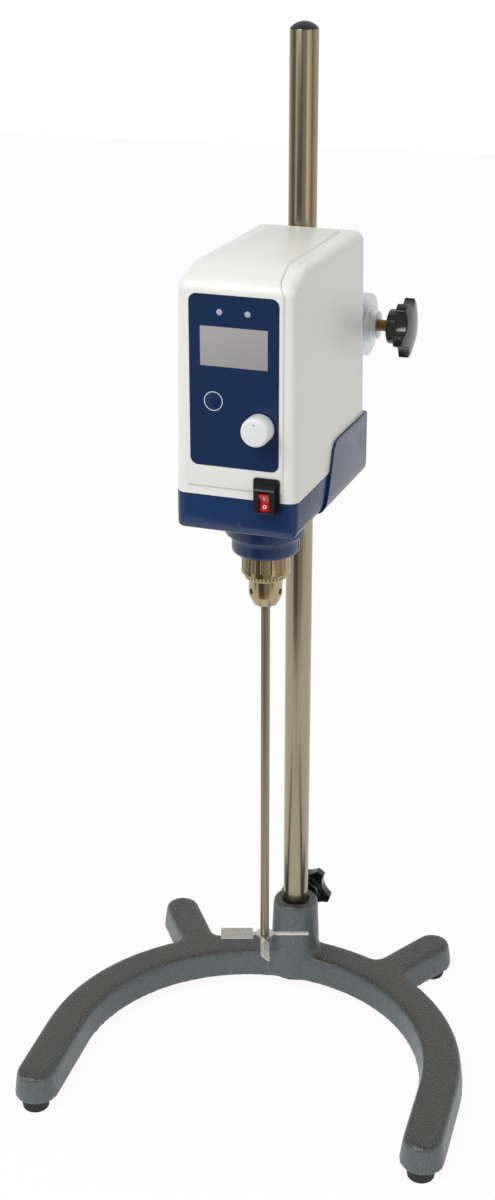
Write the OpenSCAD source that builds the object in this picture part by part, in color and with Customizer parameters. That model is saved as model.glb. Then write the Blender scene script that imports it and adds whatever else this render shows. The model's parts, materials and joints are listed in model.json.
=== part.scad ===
// Overhead laboratory stirrer on an arched cast-iron stand.
// All lengths are in millimetres. +Z is up and -Y is the front.
// The table plane is z = 0, and the origin is the middle of the stand's footprint.

/* [Stand casting] */
// Radius of the arch's centre line
arch_r = 182.2; // [160:0.2:205]
// Distance from the post's axis forward to the arch's centre
arch_ahead = 183; // [170:1:200]
// Half width of a front leg at its top face
leg_half = 17.4; // [14:0.2:21]
// Half width of a rear leg at its top face
rear_half = 16.4; // [13:0.2:20]
// How much wider each side of a leg gets down to its underside
leg_draft = 3.6; // [1:0.2:6]
// Radius along the top edges of the legs
leg_edge = 4.5; // [2:0.5:7]
// Height of the legs' top face above the table
leg_top = 39.6; // [32:0.2:48]
// Height of the casting's underside above the table
leg_under = 11; // [4:0.5:13]
// Straight length of a front leg, arch centre to centre of its round end
front_leg = 79; // [50:1:110]
// Sideways place of a rear leg's round end
rear_x = 135.5; // [115:0.5:150]
// Distance of a rear leg's round end behind the post's axis
rear_y = 44; // [30:1:60]
// Direction of the rear legs, measured from the sideways axis
rear_angle = 58; // [50:1:66]
// Radius of the webs where the rear legs and the boss meet the arch
web_r = 20; // [10:1:26]
// Height of the top of the post boss
boss_top = 97; // [80:1:115]
// Radius of the post boss at its top
boss_r = 22.6; // [20:0.2:26]
// Radius that the post boss gains down to its foot
boss_draft = 3; // [1:0.2:5]
// Radius of the rounded rim of the boss
boss_edge = 3.5; // [1:0.5:6]
// Height of the floor of the post's socket
socket_floor = 12; // [9:0.5:25]

/* [Feet] */
// Radius of a rubber foot where it meets the casting
foot_r = 13.4; // [10:0.2:15]
// Distance of each front foot ahead of the middle of its leg's round end
foot_ahead = 4; // [0:0.5:4.5]
// Radius of a rubber foot on the table
foot_tread = 12.2; // [8:0.2:13]
// Depth that a foot sits up into its pocket
foot_sink = 2; // [1:0.5:4]
// Radius of the foot screws
foot_screw_r = 2; // [1.5:0.1:3]

/* [Post] */
// Diameter of the post
post_d = 25; // [20:0.5:30]
// Wall of the post's tube
post_wall = 2; // [1.5:0.1:4]
// Height of the post's top edge above the table
post_top = 946; // [850:1:1000]
// Rise of the domed plastic cap
cap_rise = 6; // [3:0.5:8]
// Depth of the cap's plug inside the tube
cap_plug = 14; // [8:1:25]

/* [Head position] */
// Height of the housing's underside above the table
head_z = 576.5; // [560:0.5:700]
// Turn of the head on the post, to the stand's left
head_turn = 4.44; // [0:0.01:12]
// Sideways distance from the post's axis to the housing's middle
case_offset = 17.3; // [14:0.1:20]
// Distance from the post's axis forward to the spindle
shaft_reach = 143.8; // [138:0.2:150]

/* [Housing] */
// Distance from the post's axis to the housing's front
case_front = 220; // [210:1:230]
// Distance from the post's axis to the housing's back
case_back = 28; // [27.6:0.2:28.4]
// Height of the housing
case_h = 211.8; // [205:0.2:225]
// Half width of the housing at its top
case_half_top = 49; // [46:0.2:50]
// Half width of the housing at its underside
case_half_foot = 52.6; // [51:0.2:55]
// Wall of the housing and of its bottom cover
case_wall = 3; // [2.4:0.1:3.4]
// Radius of the two upright front edges
case_front_r = 9; // [6:0.5:12]
// Radius of the two upright back edges
case_back_r = 5; // [4:0.5:8]
// Radius along the top edges
case_top_r = 9; // [4.5:0.5:10]
// Distance from the post's axis to where the roof starts to slope down
visor_y = 184; // [175:1:190]
// Drop of the sloping front of the roof
visor_drop = 9.6; // [5:0.2:14]
// Radius where the roof's slope meets the front
visor_r = 9; // [5:0.5:12]
// How far the middle strip stands out from the cheeks beside it
strip_proud = 1.5; // [0.8:0.1:2.2]
// Half width of the middle strip on the front
strip_half = 41; // [39.5:0.5:43]
// Half width of the middle strip on the roof
strip_half_top = 32; // [28:0.5:38]
// Height of the lower end of the middle strip
strip_foot = 33.8; // [30:0.2:38]

/* [Bottom cover] */
// Height of the joint between housing and cover at the front
part_z = 26; // [24:0.2:29]
// Height of the cover's rear wings
wing_z = 50; // [46:0.5:56]
// How far the wings stand out from the sides
wing_proud = 2.4; // [1:0.1:2.45]
// Distance from the post's axis to the front end of the wings at the joint
wing_y = 133; // [125:1:140]
// Rounding along the cover's lower edges
cover_edge = 8; // [3.5:0.5:9]
// Sideways place of the screw notch in the front lower edge
notch_x = 3.2; // [0:0.2:8]
// Radius of the screw notch at its foot
notch_r = 4.6; // [3:0.2:6]
// Height of the screw notch
notch_h = 10; // [6:0.5:14]
// Clear radius of the neck's hole in the cover
neck_hole_r = 22; // [21.6:0.1:24]

/* [Control panel] */
// Half width of the control overlay
overlay_half = 37.5; // [36:0.1:38.5]
// Height of the overlay's lower edge above the housing's underside
overlay_low = 52; // [50:0.5:54]
// Distance from the housing's top down to the overlay's upper edge
overlay_drop = 20.3; // [19.5:0.1:25]
// Corner radius of the overlay
overlay_r = 6.5; // [4:0.5:10]
// Thickness of the overlay and of the display window
overlay_t = 1; // [0.6:0.1:1.4]
// How far the overlay stands out of its pocket
overlay_proud = 0.4; // [0.2:0.05:0.6]
// Width of the display window
display_w = 56.5; // [48:0.5:60]
// Height of the display window
display_h = 32; // [26:0.5:36]
// Distance from the housing's top down to the display's middle
display_drop = 61.4; // [56:0.2:66]
// Distance from the housing's top down to the indicator lamps
lamp_drop = 33.8; // [30:0.1:36]
// Sideways place of each indicator lamp
lamp_x = 11.7; // [8:0.1:20]
// Radius of an indicator lamp
lamp_r = 2.5; // [1.5:0.1:3]
// Sideways place of the mode button
mode_x = -17.2; // [-20:0.2:-14]
// Height of the mode button
mode_z = 106; // [102:0.5:112]
// Radius of the mode button
mode_r = 8; // [6:0.2:9]
// Travel of the mode button
mode_travel = 0.5; // [0.3:0.1:0.8]
// Sideways place of the control knob
knob_x = 22.5; // [21:0.1:23]
// Height of the control knob
knob_z = 88; // [84:0.5:92]
// Radius of the control knob
knob_r = 12; // [10:0.2:13]
// Length of the control knob
knob_len = 15; // [12:0.5:18]
// Push travel of the control knob
knob_push = 0.8; // [0.5:0.1:1]
// Radius of the encoder's shaft
encoder_r = 3; // [2.5:0.1:3.2]
// Depth of the space between the front wall and the control board
board_gap = 7; // [6.6:0.1:9]
// Thickness of the circuit boards
board_t = 1.6; // [1:0.1:2.4]

/* [Power switch] */
// Sideways place of the power switch
switch_x = 27.8; // [26:0.1:28.4]
// Height of the power switch
switch_z = 32; // [31:0.2:33]
// Width of the switch's bezel
switch_w = 20.5; // [19:0.1:22]
// Height of the switch's bezel
switch_h = 27.5; // [25:0.1:29]
// How far the bezel's hood stands out of the front
switch_proud = 8; // [6:0.2:9]
// Width of the hood round the rocker
hood_w = 16.6; // [15:0.2:18]
// Height of the hood round the rocker
hood_h = 20.6; // [19:0.2:22]
// Width of the rocker
rocker_w = 8.2; // [7:0.1:10]
// Height of the rocker
rocker_h = 14.8; // [13:0.2:16]
// Tilt of the rocker between off and on
rocker_tilt = 18; // [10:1:20]

/* [Power inlet] */
// Height of the inlet's middle above the housing's underside
inlet_z = 24; // [22:0.2:26]
// Width of the inlet's flange
inlet_w = 48; // [44:0.5:52]
// Height of the inlet's flange
inlet_h = 24; // [22:0.5:26]
// Width of the socket's mouth
mouth_w = 24.4; // [22:0.1:25]
// Height of the socket's mouth
mouth_h = 16.6; // [15:0.1:17]
// Depth of the socket
mouth_depth = 16; // [13:0.5:18]

/* [Drive] */
// Radius of the motor
motor_r = 35; // [28:0.5:38]
// Length of the motor
motor_len = 86; // [60:1:120]
// Radius of the rotor
rotor_r = 22; // [16:0.5:23]
// Radius of the spindle in its bearings
spindle_r = 7.5; // [6:0.1:8]
// Radius of the spindle inside the motor
rotor_shaft_r = 5; // [4:0.1:5.8]
// Outer radius of the bearings
bearing_r = 17.5; // [15:0.1:18]
// Width of each bearing
bearing_w = 11; // [8:0.5:12]
// Outer radius of the bearing tube
tube_r = 21; // [20.2:0.1:21.4]
// Distance that the bearing tube reaches below the housing
tube_drop = 26; // [22:0.5:27]
// Height of the motor's seat above the housing's underside
motor_seat = 38; // [34:0.5:44]
// Thickness of the chassis plates
plate_t = 8; // [6:0.5:10]

/* [Neck collar] */
// Radius of the collar's flange
collar_r = 34.6; // [33:0.2:36]
// Height of the collar's flange
collar_flange = 28; // [26.5:0.5:31]
// Radius of the collar's bowl below the flange
collar_bowl_r = 29.2; // [28.6:0.2:31]
// Radius of the collar's lower opening, outside
collar_low_r = 25.8; // [25.2:0.1:26.4]
// Total height of the collar
collar_h = 46; // [44:0.5:50]
// Wall of the collar at its lower opening
collar_wall = 2.4; // [2:0.1:2.6]
// Width of the vent in the bowl's side
vent_w = 2.4; // [1:0.2:4]

/* [Chuck] */
// Height of the chuck's top face below the housing's underside
chuck_drop = 32; // [31:0.2:34]
// Radius of the chuck's sleeve
sleeve_r = 21.2; // [20.8:0.1:21.8]
// Length of the sleeve down to its rolled edge
sleeve_len = 33.5; // [30:0.5:36]
// Radius of the chuck's body below the sleeve
chuck_r = 14.6; // [14.2:0.1:15]
// Length of the chuck's body
chuck_len = 62.6; // [60:0.2:68]
// Radius of the nose's end face
nose_r = 10.6; // [9.6:0.1:12]
// Height of the nose's taper
nose_h = 9; // [6:0.5:10]
// Number of grip flutes round the sleeve
flutes = 18; // [10:1:24]
// Number of bevel teeth for the chuck key
teeth = 36; // [20:1:44]
// Radius of the key's pilot holes
pilot_r = 2.6; // [1.6:0.1:3.2]
// Tilt of the jaws from the chuck's axis
jaw_tilt = 10; // [9:0.5:11]
// Radius of a jaw
jaw_r = 2.6; // [2.2:0.1:2.8]
// Distance of a jaw's axis from the chuck's axis, at the nose
jaw_nose = 4.4; // [4.2:0.1:4.8]
// Travel of each jaw along its tilt
jaw_travel = 6; // [3:0.5:7]

/* [Stirring shaft and impeller] */
// Radius of the stirring shaft
shaft_r = 4; // [3:0.1:4.2]
// Distance from the housing's underside down to the impeller
impeller_drop = 431.5; // [380:0.5:470]
// Depth that the shaft goes into the chuck
shaft_grip = 38; // [30:0.5:40]
// Radius over the impeller's blades
impeller_r = 41; // [34:0.5:46]
// Width of a blade
blade_w = 10; // [7:0.5:13]
// Thickness of the impeller's sheet
blade_t = 1.5; // [1:0.1:2]
// Pitch of the blades
blade_pitch = 45; // [30:1:60]
// Distance from the impeller's middle to a corner of its hub plate
hub_corner = 12; // [9:0.5:14]
// Number of blades
blades = 4; // [3:1:5]
// Turn of the spindle, with the impeller and the chuck
spindle_turn = 20; // [0:1:90]

/* [Post clamp] */
// Height of the clamp's axis above the housing's underside
clamp_z = 121; // [118:0.5:126]
// Radius of the clamp's boss
clamp_r = 23; // [21:0.2:25]
// Distance from the post's axis to the clamp's left end
clamp_left = 30; // [26:0.5:36]
// Distance from the post's axis to the seat of the clamp's end disc
clamp_right = 54.6; // [52:0.2:57]
// Radius of the clamp's end disc
disc_r = 27.3; // [26:0.1:27.4]
// Thickness of the clamp's end disc
disc_t = 9; // [6:0.2:10]
// Radius of the clamp's stud
stud_r = 5; // [4:0.1:5.5]
// Bare length of the stud between the clamp and its knob
stud_bare = 10; // [4.5:0.5:12]
// Travel of the clamp's pad when the knob is turned back
clamp_travel = 3; // [1.5:0.5:4]

/* [Post lock] */
// Height of the lock screw above the table
lock_z = 80; // [76:0.5:84]
// Radius of the lock screw
lock_r = 4; // [3:0.1:4.5]
// Bare length of the lock screw between the boss and its knob
lock_bare = 10; // [8:0.5:14]
// Travel of the lock's pad when its knob is turned back
lock_travel = 3; // [1.5:0.5:4]

/* [Star knobs] */
// Radius over the lobes of a star knob
star_r = 26.5; // [24:0.5:28]
// Number of lobes
star_lobes = 5; // [4:1:7]
// Thickness of the lobed head
star_head = 13; // [10:0.2:15]
// Radius of the knob's hub
star_hub_r = 15.2; // [10:0.2:16]
// Length of the knob's hub
star_hub = 9.6; // [8:0.2:16]

/* [Fits] */
// Radial clearance of parts that turn or slide in each other
run_fit = 0.05; // [0.02:0.01:0.09]
// Clearance between parts that must not touch
body_gap = 0.3; // [0.2:0.05:0.4]
// Clearance of parts that are pushed together and stay put
seat_gap = 0.02; // [0.01:0.01:0.03]

/* [Hidden] */
$fn = 64;
eps = 0.01;

// The stand's footprint sets the origin.
front_reach = arch_ahead + front_leg + leg_half + leg_draft;
rear_reach = rear_y + rear_half + leg_draft;
post_y = (front_reach - rear_reach) / 2;
post_r = post_d / 2;
web_inset = 2.4;
// Small step between the arch's faces and those of the pieces that join it
step = 0.15;
edge_steps = 3;
leg_lean = atan(leg_draft / (leg_top - leg_under));
arch_out = arch_r + leg_half - web_inset;
// The arch's centre seen from a rear leg's round end, along the leg and across it
rear_along = [-rear_x, -arch_ahead - rear_y] * [cos(rear_angle), sin(rear_angle)];
rear_across = [-rear_x, -arch_ahead - rear_y] * [-sin(rear_angle), cos(rear_angle)];

// Feet
foot_top = leg_under + foot_sink;
foot_recess = 3;
foot_screw_len = 16;
front_foot = [arch_r, -arch_ahead - front_leg - foot_ahead];
rear_foot = [rear_x, rear_y];
foot_places = [
    [-front_foot.x, front_foot.y],
    [front_foot.x, front_foot.y],
    [-rear_foot.x, rear_foot.y],
    [rear_foot.x, rear_foot.y]
];

// Control panel heights, and depths measured from the post's axis
overlay_high = case_h - overlay_drop;
display_z = case_h - display_drop;
lamp_z = case_h - lamp_drop;
front_in = case_front - case_wall;
pocket_y = case_front - overlay_t + overlay_proud;
board_y = front_in - board_gap;
board_low = overlay_low - 1;
board_high = overlay_high - 2;
board_half = overlay_half - 3;
board_post_r = 3;

// Chassis
floor_z = case_wall;
deck_z = floor_z + plate_t;
deck_half = 40;
deck_front = shaft_reach + 50.2;
drive_y = shaft_reach - motor_r - 8.8;
drive_w = 76;
drive_h = 110;
choke_z = deck_z + 60;
choke_w = 34;
choke_d = 26;
back_in = case_back + case_wall;
mast_y = back_in + 2;
mast_half = 34;
clamp_flange_half = 34;
clamp_flange_h = 29;
bolt_x = 26;
bolt_z = 21;
bolt_r = 3;
tube_inner = bearing_r + seat_gap;
upper_bearing_z = motor_seat - 6 - bearing_w;
lower_bearing_z = -tube_drop + 2;
motor_bolt_r = (motor_r + tube_r) / 2 + 1;

// Neck collar: the flare under its flange, the bowl's rounding and the vent
collar_flare = 9;
collar_round = 4;
vent_h = 8;

// Chuck heights, measured down from the chuck's top face
chuck_flange = 6;
nut_top = 18;
nut_low = 28;
groove_r = 12;
sleeve_cavity = sleeve_r - 2.2;
bevel_h = 4.5;
bevel_r = 17.8;
jaw_end = chuck_len + 0.8;
jaw_top = 16.4;
nut_clear = 0.1;
jaw_slope = tan(jaw_tilt);

// Clamp
stud_nose = 4.8;
disc_step_r = 17;
disc_step = 3.4;
disc_hub_r = 12.4;
disc_hub = 4.7;
bush_r = 10;
bush_spigot = 14;
bush_end = clamp_right + disc_t + disc_step + disc_hub;
pad_r = 10;
pad_out = 24;
lock_pad_r = 5;
lock_pad_out = 18;
boss_r_lock = boss_r + boss_draft * (boss_top - lock_z) / (boss_top - leg_under);

// ---------- outlines ----------

function unit(v) = v / norm(v);

// Outline through the corners pts, with a radius at each corner.
module rounded(pts, radii) {
    n = len(pts);
    legs = [for (i = [0 : n - 1]) [
        unit(pts[(i + n - 1) % n] - pts[i]),
        unit(pts[(i + 1) % n] - pts[i])
    ]];
    half = [for (a = legs) acos(a[0] * a[1]) / 2];
    outline = [for (i = [0 : n - 1]) each radii[i] > 0
        ? [pts[i] + legs[i][0] * radii[i] / tan(half[i]), pts[i] + legs[i][1] * radii[i] / tan(half[i])]
        : [pts[i]]];
    polygon(outline);
    for (i = [0 : n - 1])
        if (radii[i] > 0)
            translate(pts[i] + unit(legs[i][0] + legs[i][1]) * radii[i] / sin(half[i]))
                circle(r = radii[i]);
}

// Rectangle with round corners, centred.
module round_rect(w, h, r) {
    rounded([[-w / 2, -h / 2], [w / 2, -h / 2], [w / 2, h / 2], [-w / 2, h / 2]], [r, r, r, r]);
}

// Upright plate on the front of the housing, from depth a to depth b before the post's axis.
module front_plate(a, b) {
    translate([0, -a, 0])
        rotate([90, 0, 0])
            linear_extrude(b - a)
                children();
}

// Solid along X between the two sides, drawn in the side view (y, z).
module side_solid(half) {
    translate([-half, 0, 0])
        rotate([90, 0, 90])
            linear_extrude(2 * half)
                children();
}

// Round bar along Y, from depth a to depth b before the post's axis.
module front_bar(r, a, b) {
    translate([0, -a, 0])
        rotate([90, 0, 0])
            cylinder(r = r, h = b - a);
}

// ---------- frames ----------

module at_post() {
    translate([0, post_y, 0])
        children();
}

module at_head() {
    translate([0, post_y, head_z])
        rotate([0, 0, -head_turn])
            children();
}

module at_case() {
    at_head()
        translate([case_offset, 0, 0])
            children();
}

module at_spindle() {
    at_case()
        translate([0, -shaft_reach, 0])
            rotate([0, 0, spindle_turn])
                children();
}

module at_chuck() {
    at_spindle()
        translate([0, 0, -chuck_drop])
            children();
}

// ---------- stand ----------

// Points round the top right edge of a leg, from its drafted side to its top face.
function leg_corner(half, drop) = [for (k = [0 : edge_steps])
    let (a = leg_lean + (90 - leg_lean) * k / edge_steps)
    [
        half - leg_edge * (1 - sin(leg_lean)) / cos(leg_lean) + leg_edge * cos(a),
        leg_top - drop - leg_edge + leg_edge * sin(a)
    ]
];

// Section across a leg, standing on the casting's underside.
module leg_section(half, drop) {
    right = leg_corner(half, drop);
    polygon(concat(
        [[-half - leg_draft, leg_under + drop], [half + leg_draft, leg_under + drop]],
        right,
        [for (k = [edge_steps : -1 : 0]) [-right[k].x, right[k].y]]
    ));
}

module half_section(half, drop) {
    intersection() {
        leg_section(half, drop);
        translate([0, leg_under])
            square([half + leg_draft + 1, leg_top]);
    }
}

// Straight leg along -Y with a round end.
module leg_bar(length, half, drop) {
    rotate([90, 0, 0])
        linear_extrude(length)
            leg_section(half, drop);
    translate([0, -length, 0])
        rotate([0, 0, 180])
            rotate_extrude(angle = 180)
                half_section(half, drop);
}

module rear_leg() {
    length = -rear_along - sqrt(arch_r * arch_r - rear_across * rear_across);
    translate([rear_x, rear_y, 0])
        rotate([0, 0, rear_angle + 90])
            translate([0, length, 0])
                leg_bar(length, rear_half, step);
}

// Fill of an inner corner: a polygon from a point inside the metal to the web's centre, less the web's circle.
module web_fill(inside, on_side, centre, on_arch) {
    difference() {
        polygon([inside, on_side, centre, on_arch]);
        translate(centre)
            circle(r = web_r);
    }
}

module web_solid() {
    translate([0, 0, leg_under + 0.5])
        linear_extrude(leg_top - leg_under - 1.2)
            children();
}

// Webs on both sides of the right rear leg, drawn along the leg from its round end.
module rear_webs() {
    side = rear_half - web_inset;
    web_solid()
        translate([rear_x, rear_y])
            rotate(rear_angle)
                for (s = [-1, 1]) {
                    y = s * (side + web_r);
                    x = rear_along + sqrt(pow(arch_out + web_r, 2) - pow(y - rear_across, 2));
                    reach = arch_out / (arch_out + web_r);
                    web_fill(
                        [x - web_r, 0],
                        [x, s * side],
                        [x, y],
                        [rear_along + (x - rear_along) * reach, rear_across + (y - rear_across) * reach]
                    );
                }
}

// Webs on both sides of the post boss.
module boss_webs() {
    side = boss_r + boss_draft / 2 - 1;
    y = (pow(arch_out + web_r, 2) - pow(side + web_r, 2) + pow(arch_ahead, 2)) / (2 * arch_ahead);
    x = sqrt(pow(arch_out + web_r, 2) - y * y);
    reach = arch_out / (arch_out + web_r);
    back = side / (side + web_r);
    web_solid()
        for (s = [-1, 1])
            web_fill(
                [0, 0],
                [s * x * back, (y - arch_ahead) * back],
                [s * x, y - arch_ahead],
                [s * x * reach, y * reach - arch_ahead]
            );
}

module boss_solid() {
    rotate_extrude()
        intersection() {
            rounded(
                [
                    [-boss_r, boss_top],
                    [-boss_r - boss_draft, leg_under + 2 * step],
                    [boss_r + boss_draft, leg_under + 2 * step],
                    [boss_r, boss_top]
                ],
                [boss_edge, 1, 1, boss_edge]
            );
            square([boss_r + boss_draft + 1, boss_top + 1]);
        }
}

module base_casting() {
    color("dimgray")
        at_post()
            difference() {
                union() {
                    translate([0, -arch_ahead, 0])
                        rotate_extrude(angle = 180)
                            translate([arch_r, 0])
                                leg_section(leg_half, 0);
                    for (s = [-1, 1])
                        translate([s * arch_r, -arch_ahead, 0])
                            leg_bar(front_leg, leg_half, 0);
                    rear_leg();
                    mirror([1, 0, 0])
                        rear_leg();
                    rear_webs();
                    mirror([1, 0, 0])
                        rear_webs();
                    boss_webs();
                    boss_solid();
                }
                translate([0, 0, socket_floor])
                    cylinder(r = post_r + run_fit, h = boss_top);
                for (p = foot_places)
                    translate([p.x, p.y, leg_under - 1])
                        cylinder(r = foot_r + seat_gap, h = foot_sink + 1);
                for (p = foot_places)
                    translate([p.x, p.y, leg_under])
                        cylinder(r = foot_screw_r + seat_gap, h = foot_screw_len);
                translate([0, 0, lock_z])
                    rotate([-90, 0, 0])
                        cylinder(r = lock_r + run_fit, h = boss_r * 2);
                translate([0, 0, lock_z])
                    rotate([-90, 0, 0])
                        cylinder(r = lock_pad_r + run_fit, h = lock_pad_out + lock_travel + body_gap);
            }
}

module rubber_feet() {
    color("#1c1c1c")
        at_post()
            for (p = foot_places)
                translate([p.x, p.y, 0])
                    difference() {
                        rotate_extrude()
                            polygon([
                                [0, 0],
                                [foot_tread - 1, 0],
                                [foot_tread, 1],
                                [foot_r, leg_under],
                                [foot_r, foot_top],
                                [0, foot_top]
                            ]);
                        translate([0, 0, -1])
                            cylinder(r = foot_screw_r * 2 + 0.5, h = foot_recess + 1);
                        cylinder(r = foot_screw_r + seat_gap, h = foot_top + 1);
                    }
}

module foot_screws() {
    color("silver")
        at_post()
            for (p = foot_places)
                translate([p.x, p.y, foot_recess])
                    union() {
                        cylinder(r = foot_screw_r, h = foot_screw_len - foot_recess + leg_under - 1);
                        translate([0, 0, -1.8])
                            cylinder(r = foot_screw_r * 2, h = 1.8);
                    }
}

// ---------- star knobs ----------

// Knob along +Z: a round hub, then a lobed head with a domed face.
module star_knob(bore) {
    scallop = star_r * 0.62;
    dome = star_r * 3.4;
    difference() {
        union() {
            cylinder(r = star_hub_r, h = star_hub + 1);
            intersection() {
                translate([0, 0, star_hub])
                    linear_extrude(star_head)
                        difference() {
                            circle(r = star_r);
                            for (i = [0 : star_lobes - 1])
                                rotate(i * 360 / star_lobes + 180 / star_lobes)
                                    translate([star_r * 1.33, 0])
                                        circle(r = scallop);
                        }
                translate([0, 0, star_hub + star_head - dome])
                    sphere(r = dome);
            }
        }
        translate([0, 0, -1])
            cylinder(r = bore, h = star_hub + 3);
    }
}

// Threaded stud along +Z with a thin nose that turns in its pad.
module stud(r, nose, length) {
    union() {
        cylinder(r = r, h = length);
        translate([0, 0, -nose])
            cylinder(r = r * 0.6, h = nose + 1);
    }
}

// Pad along +X from the post's side, hollowed to the post.
module pad(r, out, nose_r, nose) {
    difference() {
        translate([post_r - 4, 0, 0])
            rotate([0, 90, 0])
                cylinder(r = r, h = out - post_r + 4);
        translate([0, 0, -r * 2])
            cylinder(r = post_r + body_gap, h = r * 4);
        translate([out - nose - body_gap, 0, 0])
            rotate([0, 90, 0])
                cylinder(r = nose_r + run_fit, h = nose + 2);
    }
}

module at_lock() {
    at_post()
        translate([0, 0, lock_z])
            rotate([0, 0, 90])
                children();
}

module lock_pad() {
    color("beige")
        at_lock()
            pad(lock_pad_r, lock_pad_out, lock_r * 0.6, stud_nose * 0.6);
}

module lock_stud() {
    color("silver")
        at_lock()
            translate([lock_pad_out + body_gap, 0, 0])
                rotate([0, 90, 0])
                    stud(lock_r, stud_nose * 0.6, boss_r_lock + lock_bare + star_hub - lock_pad_out - body_gap);
}

module lock_knob() {
    color("#141414")
        at_lock()
            translate([boss_r_lock + lock_bare, 0, 0])
                rotate([0, 90, 0])
                    star_knob(lock_r + seat_gap);
}

// ---------- post ----------

module post_tube() {
    color("silver")
        at_post()
            translate([0, 0, socket_floor + body_gap])
                difference() {
                    cylinder(r = post_r, h = post_top - socket_floor - body_gap);
                    translate([0, 0, -1])
                        cylinder(r = post_r - post_wall, h = post_top);
                }
}

module post_cap() {
    dome = (post_r * post_r + cap_rise * cap_rise) / (2 * cap_rise);
    color("#141414")
        at_post()
            translate([0, 0, post_top])
                union() {
                    intersection() {
                        cylinder(r = post_r, h = cap_rise + 1);
                        translate([0, 0, cap_rise - dome])
                            sphere(r = dome);
                    }
                    translate([0, 0, -cap_plug])
                        cylinder(r = post_r - post_wall - seat_gap, h = cap_plug + 0.5);
                }
}

// ---------- clamp ----------

module along_clamp(x) {
    at_head()
        translate([x, 0, clamp_z])
            rotate([0, 90, 0])
                children();
}

module clamp_body() {
    color("#b8bcc0")
        at_head()
            difference() {
                union() {
                    translate([-clamp_left, 0, clamp_z])
                        rotate([0, 90, 0])
                            cylinder(r = clamp_r, h = clamp_left + clamp_right);
                    translate([case_offset - clamp_flange_half, -mast_y, clamp_z - clamp_flange_h])
                        cube([2 * clamp_flange_half, mast_y - 16, 2 * clamp_flange_h]);
                }
                translate([0, 0, clamp_z - 60])
                    cylinder(r = post_r + run_fit, h = 120);
                translate([0, 0, clamp_z])
                    rotate([0, 90, 0])
                        cylinder(r = pad_r + run_fit, h = clamp_right + 1);
                for (x = [-bolt_x, bolt_x])
                    for (z = [-bolt_z, bolt_z])
                        translate([case_offset + x, -mast_y - 1, clamp_z + z])
                            rotate([-90, 0, 0])
                                cylinder(r = bolt_r + seat_gap, h = 12);
            }
}

module clamp_bush() {
    color("#c4c8cc")
        along_clamp(clamp_right)
            difference() {
                union() {
                    translate([0, 0, -bush_spigot])
                        cylinder(r = bush_r + run_fit - seat_gap, h = bush_spigot + 1);
                    cylinder(r = disc_r, h = disc_t);
                    cylinder(r = disc_step_r, h = disc_t + disc_step);
                    cylinder(r = disc_hub_r, h = disc_t + disc_step + disc_hub);
                }
                translate([0, 0, -bush_spigot - 1])
                    cylinder(r = stud_r + run_fit, h = 80);
            }
}

module clamp_bolts() {
    color("silver")
        at_case()
            for (x = [-bolt_x, bolt_x])
                for (z = [-bolt_z, bolt_z])
                    translate([x, -mast_y - plate_t, clamp_z + z])
                        rotate([-90, 0, 0])
                            union() {
                                cylinder(r = bolt_r, h = plate_t + 10);
                                translate([0, 0, -5])
                                    cylinder(r = bolt_r * 1.7, h = 5);
                            }
}

module clamp_pad() {
    color("goldenrod")
        at_head()
            translate([0, 0, clamp_z])
                pad(pad_r, pad_out, stud_r * 0.6, stud_nose);
}

module clamp_stud() {
    color("#8a6d3b")
        along_clamp(pad_out + body_gap)
            stud(stud_r, stud_nose, bush_end + stud_bare + star_hub - pad_out - body_gap);
}

module clamp_knob() {
    color("#141414")
        along_clamp(bush_end + stud_bare)
            star_knob(stud_r + seat_gap);
}

// ---------- housing ----------

// Half width of the housing's side at a height.
function case_half(z) = case_half_foot + (case_half_top - case_half_foot) * z / case_h;

// Housing's outer form, moved in by inset; top and front may be moved in further.
module case_form(inset, front_inset) {
    low = max(inset, 0);
    high = case_h - front_inset;
    top_half = case_half_top - inset;
    foot_half = case_half_foot - inset;
    front = case_front - front_inset;
    back = case_back + inset;
    edge = max(case_top_r - inset, 1);
    intersection() {
        translate([0, -back, 0])
            rotate([90, 0, 0])
                linear_extrude(front - back)
                    rounded(
                        [[-foot_half, low], [foot_half, low], [top_half, high], [-top_half, high]],
                        [cover_edge, cover_edge, edge, edge]
                    );
        side_solid(case_half_foot + 5)
            rounded(
                [
                    [-front, low],
                    [-back, low],
                    [-back, high],
                    [-visor_y, high],
                    [-front, high - visor_drop]
                ],
                [cover_edge, 2, max(case_back_r - inset, 1), 12, max(visor_r - inset, 1)]
            );
        linear_extrude(case_h)
            rounded(
                [
                    [-case_half_foot + inset, -front],
                    [case_half_foot - inset, -front],
                    [case_half_foot - inset, -back],
                    [-case_half_foot + inset, -back]
                ],
                [
                    max(case_front_r - inset, 1),
                    max(case_front_r - inset, 1),
                    max(case_back_r - inset, 1),
                    max(case_back_r - inset, 1)
                ]
            );
    }
}

// The middle strip, seen from the front and from above.
module strip_region() {
    front_plate(case_back + 12, case_front + 1)
        polygon([
            [-strip_half, strip_foot],
            [strip_half, strip_foot],
            [strip_half, case_h - visor_drop - 8],
            [strip_half_top, case_h - 1],
            [strip_half_top, case_h + 1],
            [-strip_half_top, case_h + 1],
            [-strip_half_top, case_h - 1],
            [-strip_half, case_h - visor_drop - 8]
        ]);
}

// Side view of the housing above its joint with the cover.
module upper_side() {
    polygon([
        [-case_front - 9, part_z],
        [-wing_y, part_z],
        [-wing_y + 8, wing_z - 6],
        [-wing_y + 13, wing_z - 1.5],
        [-wing_y + 20, wing_z],
        [-case_back + 9, wing_z],
        [-case_back + 9, case_h + 9],
        [-case_front - 9, case_h + 9]
    ]);
}

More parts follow.
